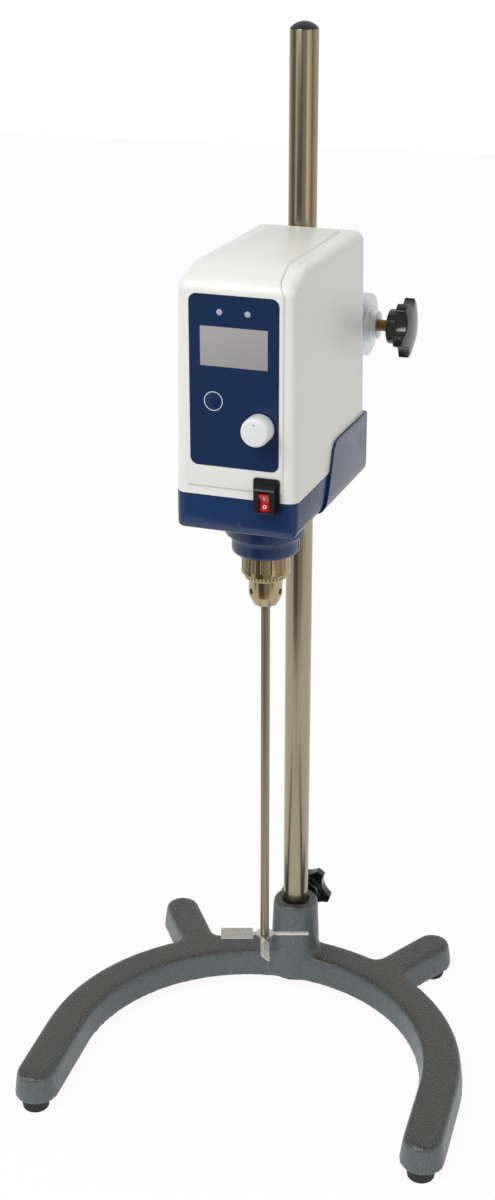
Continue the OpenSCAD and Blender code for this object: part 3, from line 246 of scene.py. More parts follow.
@dataclass(frozen=True)
class Hammered(Finish):
    """Hammer-effect stoving paint: dimples in a grey film with bright aluminium flecks.

    Attributes:
        side: colour of upright faces, as sRGB hex; lighter than the level faces' colour as painted sheen.
        fleck: colour of the flecks and of the lightened sharp ridges.
        dimple_mm: size of the dimples.
        fleck_mm: size of the flecks.
    """

    side: str = "#4f5a5e"
    fleck: str = "#8d9290"
    dimple_mm: float = 2.4
    fleck_mm: float = 0.9

    def dress(self, tree: bpy.types.NodeTree, shader: bpy.types.Node) -> None:
        """Make dimples, flecks, lighter sharp ridges, and painted light and shade that darken level faces
        against upright ones.

        Args:
            tree: the material's tree.
            shader: its Principled node.
        """
        place = add_node(tree, "ShaderNodeTexCoord").outputs["Object"]
        facing = add_node(tree, "ShaderNodeNewGeometry").outputs["Normal"]
        level = add_node(tree, "ShaderNodeSeparateXYZ", links={"Vector": facing}).outputs["Z"]
        # Painted shade and sheen: faces turned up get the darker level colour, upright faces the lighter side
        # colour.
        facing_shade = add_node(
            tree, "ShaderNodeMapRange", {"From Min": 0.35, "From Max": 0.92}, {"Value": level}
        ).outputs["Result"]
        film = add_node(
            tree,
            "ShaderNodeMix",
            {"data_type": "RGBA", 6: linear(self.side), 7: linear(self.colour)},
            {0: facing_shade},
        ).outputs[2]
        flecks = add_node(
            tree, "ShaderNodeTexNoise", {"Scale": 1 / (self.fleck_mm * MM), "Detail": 4.0}, {"Vector": place}
        )
        spots = add_node(
            tree,
            "ShaderNodeMapRange",
            {"From Min": 0.5, "From Max": 0.72, "To Max": 0.6},
            {"Value": flecks.outputs["Fac"]},
        ).outputs["Result"]
        colour = add_node(
            tree, "ShaderNodeMix", {"data_type": "RGBA", 7: linear(self.fleck)}, {0: spots, 6: film}
        ).outputs[2]
        # Sharp convex ridges, found by pointiness, are lightened towards the fleck colour.
        ridge = add_node(tree, "ShaderNodeNewGeometry").outputs["Pointiness"]
        lighter_ridges = add_node(
            tree, "ShaderNodeMapRange", {"From Min": 0.54, "From Max": 0.62, "To Max": 0.6}, {"Value": ridge}
        ).outputs["Result"]
        colour = add_node(
            tree, "ShaderNodeMix", {"data_type": "RGBA", 7: linear(self.fleck)}, {0: lighter_ridges, 6: colour}
        ).outputs[2]
        tree.links.new(colour, shader.inputs["Base Color"])
        dimples = add_node(
            tree,
            "ShaderNodeTexVoronoi",
            {"feature": "SMOOTH_F1", "Scale": 1 / (self.dimple_mm * MM), "Smoothness": 0.9},
            {"Vector": place},
        )
        tree.links.new(
            add_node(
                tree,
                "ShaderNodeMapRange",
                {"To Min": self.roughness - 0.08, "To Max": self.roughness + 0.1},
                {"Value": flecks.outputs["Fac"]},
            ).outputs["Result"],
            shader.inputs["Roughness"],
        )
        bump = add_node(
            tree,
            "ShaderNodeBump",
            {"Strength": self.relief, "Distance": 0.0005},
            {"Height": dimples.outputs["Distance"]},
        )
        tree.links.new(bump.outputs["Normal"], shader.inputs["Normal"])


# Hammer-effect paint on iron: level faces get a darker olive grey and walls a lighter blue grey, as painted
# shade and painted sheen set by how light falls.
HAMMERED = Hammered("hammered grey paint", "#2b2e2a", 0.36, relief=0.9)
# Stoved semi-gloss enamel on steel sheet, with a faint orange peel.
CREAM = Finish("cream stoved enamel", "#e3e4de", 0.34, ior=1.5, grain_mm=1.1, relief=0.03, uneven=0.02)
NAVY = Finish("blue stoved enamel", "#0a2f5c", 0.3, ior=1.5, grain_mm=1.1, relief=0.03)
# Printed polyester film: very smooth, with a faint texture that dulls it.
FILM = Finish("printed blue film", "#04284f", 0.34, ior=1.46, grain_mm=0.4, relief=0.02)
GREY_FILM = Finish("plain grey window film", "#9c9a9b", 0.4, ior=1.58, grain_mm=0.4, relief=0.01, uneven=0.01)
PRINT = Finish("light grey screen print", "#c9d0da", 0.45, ior=1.5, grain_mm=0.3, relief=0.01)
# Ground stainless tube: fine marks around it, warm in tone.
TUBE = Metal(
    "ground stainless tube", "#a1977e", 0.24, relief=0.1, uneven=0.06, marks=Bearing.AROUND, mark_mm=0.4
)
DRAWN = Metal(
    "drawn stainless rod", "#9a8f7b", 0.45, relief=0.1, uneven=0.06, marks=Bearing.UPRIGHT, mark_mm=0.4
)
SHEET = Metal("brushed stainless sheet", "#c2c1bb", 0.28, relief=0.15, uneven=0.08, mark_mm=0.5)
# Hardened and ground chuck steel with a trace of oil.
CHUCK = Metal(
    "ground chuck steel", "#ad9c7c", 0.22, relief=0.12, uneven=0.07, marks=Bearing.AROUND, mark_mm=0.3
)
BLASTED = Metal("bead-blasted aluminium", "#e1e6e8", 0.5, relief=0.25, uneven=0.06, mark_mm=0.5)
CAST = Metal("as-cast aluminium", "#9da0a2", 0.55, relief=0.4, uneven=0.08, mark_mm=1.2)
ZINC = Metal("bright zinc plate", "#b9bcbe", 0.34, relief=0.1, uneven=0.08, mark_mm=0.4)
BRASS = Metal("dulled brass", "#85693f", 0.36, relief=0.15, uneven=0.08, marks=Bearing.EVEN, mark_mm=0.4)
COPPER = Metal("rotor stack and windings", "#75655a", 0.45, relief=0.3, marks=Bearing.AROUND, mark_mm=0.6)
# Compression-moulded phenolic: hard, black and glossy.
PHENOLIC = Finish("black phenolic", "#121211", 0.16, ior=1.6, grain_mm=1.5, relief=0.02, uneven=0.05)
BLACK = Finish("black moulded plastic", "#161718", 0.42, ior=1.49, grain_mm=0.5, relief=0.08)
WHITE = Finish("white moulded plastic", "#dfe2e2", 0.38, ior=1.49, grain_mm=0.5, relief=0.04, uneven=0.02)
RED = Finish("clear red polycarbonate", "#c01622", 0.18, ior=1.585, grain_mm=0.8, relief=0.02)
MARK = Finish("white pad print", "#f0eeee", 0.5, ior=1.5, grain_mm=0.3, relief=0.01)
NYLON = Finish("natural nylon", "#d8d2c0", 0.5, ior=1.53, grain_mm=0.6, relief=0.05)
RUBBER = Finish("black rubber", "#1b1c1d", 0.7, ior=1.52, grain_mm=0.7, relief=0.2)
LENS = Finish("grey lamp lens", "#a7abb0", 0.2, ior=1.49, grain_mm=0.5, relief=0.02)
BOARD = Finish("green solder mask", "#1d5a32", 0.3, ior=1.5, grain_mm=0.8, relief=0.1)
LACQUER = Finish("black motor lacquer", "#2c2f32", 0.4, ior=1.5, grain_mm=0.9, relief=0.1)


# ---------- building ----------


def settled(obj: bpy.types.Object) -> bpy.types.Object:
    """Bake an object's modifiers into its mesh.

    Args:
        obj: the object.

    Returns:
        The same object, with no modifiers.
    """
    mesh = bpy.data.meshes.new_from_object(obj.evaluated_get(bpy.context.evaluated_depsgraph_get()))
    obj.modifiers.clear()
    obj.data = mesh
    return obj


def placed(name: str, bm: bmesh.types.BMesh, matrix: Matrix | None = None) -> bpy.types.Object:
    """Turn a bmesh into a linked object whose place is in its mesh.

    Args:
        name: the piece's name.
        bm: its mesh, which is freed.
        matrix: moves the mesh first.

    Returns:
        The new object, at the origin.
    """
    if matrix is not None:
        bmesh.ops.transform(bm, matrix=matrix, verts=bm.verts)
    bmesh.ops.recalc_face_normals(bm, faces=bm.faces)
    mesh = bpy.data.meshes.new(name)
    bm.to_mesh(mesh)
    bm.free()
    obj = bpy.data.objects.new(name, mesh)
    bpy.context.scene.collection.objects.link(obj)
    return obj


def merged(node: str) -> bmesh.types.BMesh:
    """Copy a CAD node into a bmesh with its triangles joined and its flat faces whole.

    Args:
        node: the node's name.

    Returns:
        The new bmesh.
    """
    bm = bmesh.new()
    bm.from_mesh(frame["nodes"][node].data)
    bmesh.ops.remove_doubles(bm, verts=bm.verts, dist=2e-6)
    bmesh.ops.dissolve_limit(bm, angle_limit=math.radians(0.4), verts=bm.verts, edges=bm.edges)
    return bm


def shade(obj: bpy.types.Object, angle: float = 32.0) -> None:
    """Shade smoothly, except across edges sharper than an angle.

    Args:
        obj: the object.
        angle: the angle in degrees.
    """
    bm = bmesh.new()
    bm.from_mesh(obj.data)
    for face in bm.faces:
        face.smooth = True
    for edge in bm.edges:
        edge.smooth = len(edge.link_faces) == 2 and edge.calc_face_angle(0.0) < math.radians(angle)
    bm.to_mesh(obj.data)
    bm.free()


def softened(node: str, width_mm: float, angle: float = 38.0, segments: int = 2) -> bpy.types.Object:
    """Copy a CAD node and round its sharp edges slightly.

    Args:
        node: the node's name.
        width_mm: the rounding's width.
        angle: edges sharper than this are rounded.
        segments: steps in the rounding.

    Returns:
        The new object.
    """
    obj = placed(node + "_dressed", merged(node))
    bevel = obj.modifiers.new("edges", "BEVEL")
    bevel.width = width_mm * MM
    bevel.segments = segments
    bevel.limit_method = "ANGLE"
    bevel.angle_limit = math.radians(angle)
    bevel.use_clamp_overlap = True
    settled(obj)
    shade(obj)
    return obj


def crisp(node: str, angle: float = 24.0) -> bpy.types.Object:
    """Copy a CAD node whose edges are already rounded and shade it.

    Args:
        node: the node's name.
        angle: edges sharper than this stay sharp.

    Returns:
        The new object.
    """
    bm = bmesh.new()
    bm.from_mesh(frame["nodes"][node].data)
    bmesh.ops.remove_doubles(bm, verts=bm.verts, dist=2e-6)
    obj = placed(node + "_crisp", bm)
    shade(obj, angle)
    return obj


def remeshed(node: str, voxel_mm: float, passes: int) -> bpy.types.Object:
    """Copy a CAD node as one skin with every edge flowing into the next, as on a casting.

    Args:
        node: the node's name.
        voxel_mm: the skin's cell size.
        passes: how often the skin is smoothed.

    Returns:
        The new object.
    """
    obj = placed(node + "_cast", merged(node))
    remesh = obj.modifiers.new("skin", "REMESH")
    remesh.mode = "VOXEL"
    remesh.voxel_size = voxel_mm * MM
    settled(obj)
    bm = bmesh.new()
    bm.from_mesh(obj.data)
    for _ in range(passes):
        bmesh.ops.smooth_vert(
            bm, verts=bm.verts, factor=0.5, use_axis_x=True, use_axis_y=True, use_axis_z=True
        )
    bm.to_mesh(obj.data)
    bm.free()
    shade(obj, 80)
    return obj


def dress(obj: bpy.types.Object, finish: Finish, body: str, slot: str, *nodes: str) -> bpy.types.Object:
    """Give a piece its finish and its place in the frame.

    Args:
        obj: the piece.
        finish: its finish.
        body: the CAD body it rides on.
        slot: the record's material slot; not used.
        nodes: CAD nodes it replaces.

    Returns:
        The piece.
    """
    obj.data.materials.clear()
    obj.data.materials.append(finish.material())
    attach(obj, body)
    if nodes:
        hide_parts(*nodes)
    LOG.info("%s: %d faces, on %s", obj.name, len(obj.data.polygons), body)
    return obj


def combine(target: bpy.types.Object, cutter: bpy.types.Object, operation: str) -> None:
    """Join or cut one object by another, which is then removed.

    Args:
        target: the object that is changed.
        cutter: the other object.
        operation: UNION or DIFFERENCE.
    """
    step = target.modifiers.new("step", "BOOLEAN")
    step.operation = operation
    step.solver = "EXACT"
    step.object = cutter
    settled(target)
    bpy.data.objects.remove(cutter)


def centre(node: str) -> Vector:
    """Find the middle of a CAD node's box.

    Args:
        node: the node's name.

    Returns:
        Its middle in metres.
    """
    low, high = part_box(node)
    return (low + high) / 2


# ---------- sub-assemblies ----------


@dataclass
class Head:
    """Where the housing stands: its middle plane, turned a little on the post.

    Attributes:
        turn: turn of the head in degrees.
        offset: distance of the housing's middle from the post, in mm.
        height: height of the housing's underside, in mm.
    """

    turn: float = -4.44
    offset: float = 17.3
    height: float = 576.5

    def matrix(self) -> Matrix:
        """Work out where the housing's own frame lies.

        Returns:
            The transform from that frame, in mm, to the shared frame, in metres.
        """
        post = centre("post_tube")
        place = Matrix.Translation(Vector((post.x, post.y, self.height * MM)))
        turned = Matrix.Rotation(math.radians(self.turn), 4, "Z")
        return place @ turned @ Matrix.Translation((self.offset * MM, 0, 0)) @ Matrix.Scale(MM, 4)


@dataclass
class Housing:
    """Cream shell, blue cover and blue neck collar, with sizes in mm from the post and the underside.

    Attributes:
        head: where the housing stands.
        front: distance of the strip's front.
        back: distance of the back.
        high: height of the roof.
        joint: height of the seam between shell and cover.
        half_top: half width at the roof.
        half_foot: half width at the underside.
        wall: thickness of the back wall.
        proud: how far the strip stands out.
        strip_half: half width of the strip.
        strip_top: half width of the strip on the roof.
        strip_foot: height of the strip's foot.
        visor_y: distance at which the brow starts to fall.
        visor_drop: how far the brow falls.
        edge: radius of the large roundings.
        overlay_half: half width of the overlay's pocket.
        overlay_low: height of the pocket's lower edge.
        overlay_high: height of its upper edge.
        overlay_radius: its corner radius.
        switch_x: sideways place of the switch.
        switch_half: half width and half height of the switch's hole.
        switch_z: height of its middle.
        clamp_half: half width and half height of the clamp's opening.
        clamp_z: height of its middle.
        foot_band: height under which the cover's foot is stretched.
        foot_drop: how far its lowest level moves down.
        notch_radii: radius of the notch's cutter below and above.
        notch_depth: length of that cutter.
        notch_place: its middle in the housing's frame.
        holes: sideways place, height and radius of each round hole.
    """

    head: Head = field(default_factory=Head)
    front: float = 220.0
    back: float = 28.0
    high: float = 211.8
    joint: float = 26.0
    half_top: float = 49.0
    half_foot: float = 52.6
    wall: float = 3.0
    proud: float = 1.5
    strip_half: float = 41.0
    strip_top: float = 32.0
    strip_foot: float = 33.8
    visor_y: float = 184.0
    visor_drop: float = 9.6
    edge: float = 9.0
    overlay_half: float = 37.6
    overlay_low: float = 51.9
    overlay_high: float = 191.6
    overlay_radius: float = 6.5
    switch_x: float = 27.8
    switch_half: tuple[float, float] = (10.35, 13.85)
    switch_z: float = 32.0
    clamp_half: tuple[float, float] = (34.1, 29.1)
    clamp_z: float = 121.0
    foot_band: float = 8.1
    foot_drop: float = 6.5
    notch_radii: tuple[float, float] = (4.8, 0.3)
    notch_depth: float = 14.0
    notch_place: tuple[float, float, float] = (3.2, -219.0, 0.4)
    holes: tuple[tuple[float, float, float], ...] = (
        (-17.2, 106.0, 8.3),
        (22.5, 88.0, 4.6),
        (-11.7, 178.0, 2.6),
        (11.7, 178.0, 2.6),
    )

    def half(self, z: float) -> float:
        """Work out the half width at a height.

        Args:
            z: height above the underside, in mm.

        Returns:
            The half width in mm.
        """
        return self.half_foot + (self.half_top - self.half_foot) * z / self.high

    def block(
        self, half_low: float, half_high: float, front: float, back: float, low: float, high: float
    ) -> bmesh.types.BMesh:
        """Make a six-sided block that narrows upwards.

        Args:
            half_low: half width at the bottom.
            half_high: half width at the top.
            front: distance of the front from the post.
            back: distance of the back from the post.
            low: height of the bottom.
            high: height of the top.

        Returns:
            The block.
        """
        bm = bmesh.new()
        bmesh.ops.create_cube(bm, size=2.0)
        for vert in bm.verts:
            wide = half_high if vert.co.z > 0 else half_low
            vert.co = Vector((
                math.copysign(wide, vert.co.x),
                -front if vert.co.y < 0 else -back,
                high if vert.co.z > 0 else low,
            ))
        return bm

    def slope(self, bm: bmesh.types.BMesh, front: float, high: float) -> None:
        """Cut the sloping brow off the top front edge.

        Args:
            bm: the block.
            front: distance of its front from the post.
            high: height of its top.
        """
        run = front - self.visor_y
        self.cut(bm, Vector((0, -self.visor_y, high)), Vector((0, -self.visor_drop, run)))

    def cut(self, bm: bmesh.types.BMesh, point: Vector, normal: Vector) -> None:
        """Cut a block by a plane, keep what lies behind it, and close it.

        Args:
            bm: the block.
            point: a point on the plane.
            normal: its normal, pointing at what goes.
        """
        geom = [*bm.verts, *bm.edges, *bm.faces]
        bmesh.ops.bisect_plane(
            bm, geom=geom, plane_co=point, plane_no=normal.normalized(), clear_outer=True, dist=1e-4
        )
        bmesh.ops.holes_fill(bm, edges=[e for e in bm.edges if e.is_boundary], sides=400)

    def rounded(
        self, bm: bmesh.types.BMesh, edges: list[bmesh.types.BMEdge], radius: float, segments: int
    ) -> None:
        """Round some edges of a block.

        Args:
            bm: the block.
            edges: the edges.
            radius: the rounding's radius in mm.
            segments: steps in the rounding.
        """
        bmesh.ops.bevel(
            bm,
            geom=edges,
            offset=radius,
            offset_type="OFFSET",
            segments=segments,
            profile=0.5,
            affect="EDGES",
            clamp_overlap=True,
            material=-1,
        )

    def cheeks(self) -> bpy.types.Object:
        """Make the shell's main form, with its large roundings.

        Returns:
            The form.
        """
        front, high = self.front - self.proud, self.high - self.proud
        bm = self.block(self.half(self.joint), self.half(high), front, self.back, self.joint, high)
        self.slope(bm, front, high)
        edges = [e for e in bm.edges if max(v.co.z for v in e.verts) > self.joint + 1]
        self.rounded(bm, edges, self.edge, 8)
        return placed("shell_form", bm, self.head.matrix())

    def strip(self) -> bpy.types.Object:
        """Make the raised middle strip, which narrows over the brow.

        Returns:
            The strip.
        """
        bm = self.block(
            self.strip_half, self.strip_half, self.front, self.back + 19, self.strip_foot, self.high
        )
        self.slope(bm, self.front, self.high)
        ridge = []
        for edge in bm.edges:
            start, end = edge.verts[0].co, edge.verts[1].co
            along_x = abs(start.z - end.z) < 0.1 and abs(start.y - end.y) < 0.1
            on_brow = -self.front - 1 < start.y < -self.visor_y + 1 and start.z > self.high - 12
            if along_x and on_brow:
                ridge.append(edge)
        self.rounded(bm, ridge, self.edge, 6)
        brow_foot = self.high - self.visor_drop - 8
        rise = self.high - 1 - brow_foot
        for side in (-1, 1):
            point = Vector((side * self.strip_half, 0, brow_foot))
            self.cut(bm, point, Vector((side * rise, 0, self.strip_half - self.strip_top)))
        rim = [e for e in bm.edges if len(e.link_faces) == 2 and e.calc_face_angle(0) > math.radians(24)]
        self.rounded(bm, rim, 1.1, 3)
        return placed("strip_form", bm, self.head.matrix())

    def bore(self, x: float, z: float, radius: float, near: float, far: float) -> bpy.types.Object:
        """Make a round cutter that goes in through the front.

        Args:
            x: sideways place in mm.
            z: height in mm.
            radius: radius in mm.
            near: distance of its inner end from the post.
            far: distance of its outer end from the post.

        Returns:
            The cutter.
        """
        bm = bmesh.new()
        bmesh.ops.create_cone(
            bm, cap_ends=True, segments=48, radius1=radius, radius2=radius, depth=far - near
        )
        turn = Matrix.Translation((x, -(near + far) / 2, z)) @ Matrix.Rotation(math.radians(90), 4, "X")
        return placed("bore", bm, self.head.matrix() @ turn)

    def plate(
        self, half: float, low: float, high: float, near: float, far: float, radius: float
    ) -> bpy.types.Object:
        """Make an upright plate with round corners.

        Args:
            half: half width in mm.
            low: height of its lower edge.
            high: height of its upper edge.
            near: distance of its back from the post.
            far: distance of its front from the post.
            radius: corner radius in mm.

        Returns:
            The plate.
        """
        bm = self.block(half, half, far, near, low, high)
        corners = [e for e in bm.edges if abs(e.verts[0].co.y - e.verts[1].co.y) > 0.1]
        self.rounded(bm, corners, radius, 8)
        return placed("plate", bm, self.head.matrix())

    def shell(self) -> bpy.types.Object:
        """Build the cream shell with its hollow, its pocket and its holes.

        Returns:
            The shell.
        """
        shell = self.cheeks()
        combine(shell, self.strip(), "UNION")
        for inset, depth in ((5.0, 5.5), (self.half_top - 40.0, 2.2)):
            room = self.block(
                self.half(0) - inset,
                self.half(self.high) - inset,
                self.front - self.proud - depth,
                self.back + self.wall,
                -1,
                self.high - self.proud - 5.0,
            )
            self.slope(room, self.front - self.proud - depth, self.high - self.proud - 5.0)
            combine(shell, placed("hollow", room, self.head.matrix()), "DIFFERENCE")
        pocket = self.plate(
            self.overlay_half,
            self.overlay_low,
            self.overlay_high,
            self.front - 0.6,
            self.front + 2,
            self.overlay_radius,
        )
        combine(shell, pocket, "DIFFERENCE")
        for x, z, radius in self.holes:
            combine(shell, self.bore(x, z, radius, self.front - 6, self.front + 3), "DIFFERENCE")
        half, rise = self.switch_half
        low, high = self.switch_z - rise, self.switch_z + rise
        plate = self.block(half, half, self.front + 3, self.front - 12, low, high)
        aside = self.head.matrix() @ Matrix.Translation((self.switch_x, 0, 0))
        combine(shell, placed("switch_hole", plate, aside), "DIFFERENCE")
        half, rise = self.clamp_half
        low, high = self.clamp_z - rise, self.clamp_z + rise
        opening = self.block(half, half, self.back + 6, self.back - 2, low, high)
        combine(shell, placed("clamp_hole", opening, self.head.matrix()), "DIFFERENCE")
        bm = bmesh.new()
        bm.from_mesh(shell.data)
        bmesh.ops.remove_doubles(bm, verts=bm.verts, dist=5e-6)
        bm.to_mesh(shell.data)
        bm.free()
        shell.name = "cream_shell"
        shade(shell, 30)
        return dress(shell, CREAM, "head", "cream_paint", "housing_shell")

    def bellied(self, node: str, below: float, by: float) -> bpy.types.Object:
        """Copy a CAD node and stretch its foot a little lower, so that the foot's rounding grows taller.

        Args:
            node: the node's name.
            below: everything under this height moves, in mm.
            by: how far the lowest level moves, in mm.

        Returns:
            The new object.
        """
        obj = crisp(node)
        home = self.head.matrix()
        away = home.inverted()
        for vertex in obj.data.vertices:
            point = away @ vertex.co
            if point.z < below:
                point.z -= by * min(1.0, (below - point.z) / below)
                vertex.co = home @ point
        return obj

    def notch(self) -> bpy.types.Object:
        """Make the pointed cutter for the notch in the cover's front edge.

        Returns:
            The cutter.
        """
        bm = bmesh.new()
        below, above = self.notch_radii
        bmesh.ops.create_cone(
            bm, cap_ends=True, segments=40, radius1=below, radius2=above, depth=self.notch_depth
        )
        return placed("notch", bm, self.head.matrix() @ Matrix.Translation(self.notch_place))

    def build(self) -> None:
        """Build the shell, cover and collar."""
        self.shell()
        cover = self.bellied("bottom_cover", self.foot_band, self.foot_drop)
        combine(cover, self.notch(), "DIFFERENCE")
        shade(cover, 24.0)
        dress(cover, NAVY, "head", "navy_paint", "bottom_cover")
        screws = self.bellied("cover_screws", self.foot_band, self.foot_drop)
        dress(screws, ZINC, "head", "zinc_steel", "cover_screws")
        dress(softened("neck_collar", 0.8), NAVY, "head", "navy_paint", "neck_collar")


@dataclass
class Panel:
    """Overlay, window, lamps, button, knob and power switch on the front, with sizes in mm.

    Attributes:
        head: where the housing stands.
        front: distance of the front from the post.
        mode_x: sideways place of the mode button.
        mode_z: its height.
        ring: outer radius of the ring printed on it.
        dot_x: sideways place of the dot on the knob.
        dot_z: its height.
        dot_out: how far it stands before the front.
        rocker_x: sideways place of the rocker.
        rocker_axis: distance of its axis from the post.
        rocker_z: height of its axis.
        rocker_lift: how far its face stands before the axis.
        rocker_tilt: angle between its two positions.
        rocker_slope: slope of each half of its face.
        mark_thick: thickness of the marks printed on it.
        mark_away: distance of each mark from the axis, up or down.
        mark_back: how far the sloping face has fallen back there.
    """

    head: Head = field(default_factory=Head)
    front: float = 220.0
    mode_x: float = -17.2
    mode_z: float = 106.0
    ring: float = 7.95
    dot_x: float = 22.5
    dot_z: float = 94.5
    dot_out: float = 16.64
    rocker_x: float = 27.8
    rocker_axis: float = 221.5
    rocker_z: float = 28.55
    rocker_lift: float = 5.9
    rocker_tilt: float = 18.0
    rocker_slope: float = 16.6
    mark_thick: float = 0.08
    mark_away: float = 3.7
    mark_back: float = 1.08

    def annulus(
        self, name: str, outer: float, inner: float, depth: float, matrix: Matrix
    ) -> bpy.types.Object:
        """Make a flat ring that stands along the panel's outward direction.

        Args:
            name: the piece's name.
            outer: outer radius in mm.
            inner: inner radius in mm.
            depth: thickness in mm.
            matrix: its place in the housing's frame.

        Returns:
            The ring.
        """
        bm = bmesh.new()
        bmesh.ops.create_circle(bm, segments=64, radius=outer)
        start = bm.edges[:]
        inside = bmesh.ops.extrude_edge_only(bm, edges=start)["geom"]
        verts = [g for g in inside if isinstance(g, bmesh.types.BMVert)]
        bmesh.ops.scale(bm, vec=(inner / outer, inner / outer, 1), verts=verts)
        bmesh.ops.solidify(bm, geom=bm.faces[:], thickness=depth)
        return placed(name, bm, self.head.matrix() @ matrix)

    def marks(self) -> None:
        """Print a stroke and a ring on the rocker's two sloping halves."""
        pivot = Matrix.Translation((self.rocker_x, -self.rocker_axis, self.rocker_z))
        rocker = self.head.matrix() @ pivot @ Matrix.Rotation(math.radians(self.rocker_tilt / 2), 4, "X")
        for name, side in (("stroke_mark", 1), ("ring_mark", -1)):
            lean = Matrix.Rotation(math.radians(90 + self.rocker_slope * side), 4, "X")
            out = -self.rocker_lift + self.mark_back
            place = Matrix.Translation((0, out, self.mark_away * side)) @ lean
            bm = bmesh.new()
            if side > 0:
                bmesh.ops.create_cube(bm, size=1.0)
                bmesh.ops.scale(bm, vec=(0.7, 3.0, self.mark_thick), verts=bm.verts)
            else:
                bmesh.ops.create_circle(bm, segments=32, radius=1.6)
                edges = bmesh.ops.extrude_edge_only(bm, edges=bm.edges[:])["geom"]
                verts = [g for g in edges if isinstance(g, bmesh.types.BMVert)]
                bmesh.ops.scale(bm, vec=(0.64, 0.64, 1), verts=verts)
                bmesh.ops.solidify(bm, geom=bm.faces[:], thickness=self.mark_thick)
            dress(placed(name, bm, rocker @ place), MARK, "rocker", "switch_red")

    def build(self) -> None:
        """Dress the panel's pieces and add its printed marks."""
        dress(crisp("control_overlay"), FILM, "head", "overlay_film", "control_overlay")
        dress(softened("display_window", 0.2), GREY_FILM, "head", "display_film", "display_window")
        dress(softened("indicator_lamps", 0.5), LENS, "head", "lamp_plastic", "indicator_lamps")
        dress(softened("mode_button", 0.3), FILM, "mode_key", "overlay_film", "mode_button")
        dress(softened("control_knob", 0.6, 25.0, 3), WHITE, "speed_knob", "white_plastic", "control_knob")
        dress(crisp("switch_bezel"), BLACK, "head", "black_plastic", "switch_bezel")
        dress(crisp("switch_rocker"), RED, "rocker", "switch_red", "switch_rocker")
        upright = Matrix.Rotation(math.radians(90), 4, "X")
        dot = bmesh.new()
        bmesh.ops.create_cone(dot, cap_ends=True, segments=24, radius1=1.0, radius2=0.8, depth=0.1)
        at_dot = Matrix.Translation((self.dot_x, -(self.front + self.dot_out), self.dot_z)) @ upright
        dress(placed("knob_dot", dot, self.head.matrix() @ at_dot), LENS, "speed_knob", "lamp_plastic")
        self.marks()
        at_ring = Matrix.Translation((self.mode_x, -self.front - 0.62, self.mode_z)) @ upright
        ring = self.annulus("mode_ring", self.ring, self.ring - 0.7, 0.06, at_ring)
        dress(ring, PRINT, "mode_key", "overlay_film")


@dataclass
class Stand:
    """Casting, feet, post and the post lock."""

    def build(self) -> None:
        """Build the stand's pieces."""
        dress(remeshed("base_casting", 2.1, 8), HAMMERED, "stand", "hammertone_paint", "base_casting")
        dress(softened("rubber_feet", 0.8), RUBBER, "stand", "foot_rubber", "rubber_feet")
        dress(softened("post_tube", 0.3), TUBE, "post", "post_steel", "post_tube")
        dress(softened("post_cap", 1.2, 30.0, 3), BLACK, "post", "black_plastic", "post_cap")
        dress(remeshed("lock_knob", 0.4, 14), PHENOLIC, "lock_screw", "black_plastic", "lock_knob")
        dress(softened("lock_stud", 0.4), ZINC, "lock_screw", "zinc_steel", "lock_stud")


@dataclass
class Clamp:
    """Clamp body, end bush, stud and star knob."""

    def build(self) -> None:
        """Build the clamp's pieces."""
        dress(softened("clamp_body", 1.0), CAST, "head", "cast_aluminium", "clamp_body")
        dress(softened("clamp_bush", 0.7, 38.0, 3), BLASTED, "head", "clamp_aluminium", "clamp_bush")
        dress(softened("clamp_stud", 0.4), BRASS, "clamp_screw", "brass", "clamp_stud")
        dress(remeshed("clamp_knob", 0.4, 14), PHENOLIC, "clamp_screw", "black_plastic", "clamp_knob")


@dataclass
class Drive:
    """Chuck, stirring shaft and impeller."""

    def build(self) -> None:
        """Build the turning pieces that show."""
        dress(softened("chuck_body", 0.3), CHUCK, "drive", "chuck_steel", "chuck_body")
        dress(softened("chuck_sleeve", 0.15), CHUCK, "chuck_ring", "chuck_steel", "chuck_sleeve")
        dress(softened("stirring_shaft", 0.2), DRAWN, "drive", "shaft_steel", "stirring_shaft")
        dress(crisp("impeller"), SHEET, "drive", "blade_steel", "impeller")


@dataclass
class Inside:
    """CAD nodes that keep their own shape and get a material.

    Attributes:
        finishes: the finish of each material slot.
    """

    finishes: dict[str, Finish] = field(
        default_factory=lambda: {
            "hammertone_paint": HAMMERED,
            "foot_rubber": RUBBER,
            "zinc_steel": ZINC,
            "post_steel": TUBE,
            "black_plastic": BLACK,
            "pad_plastic": NYLON,
            "clamp_aluminium": BLASTED,
            "brass": BRASS,
            "cream_paint": CREAM,
            "navy_paint": NAVY,
            "cast_aluminium": CAST,
            "motor_black": LACQUER,
            "board_green": BOARD,
            "overlay_film": FILM,
            "display_film": GREY_FILM,
            "lamp_plastic": LENS,
            "white_plastic": WHITE,
            "switch_red": RED,
            "rotor_steel": COPPER,
            "chuck_steel": CHUCK,
            "shaft_steel": DRAWN,
            "blade_steel": SHEET,
        }
    )

    def build(self) -> None:
        """Assign every CAD node the finish of its slot."""
        for part in frame["record"]["subparts"]:
            obj = frame["nodes"][part["node"]]
            obj.data.materials.clear()
            obj.data.materials.append(self.finishes[part["material_slot"]].material())
            LOG.info("%s keeps its solid", part["node"])


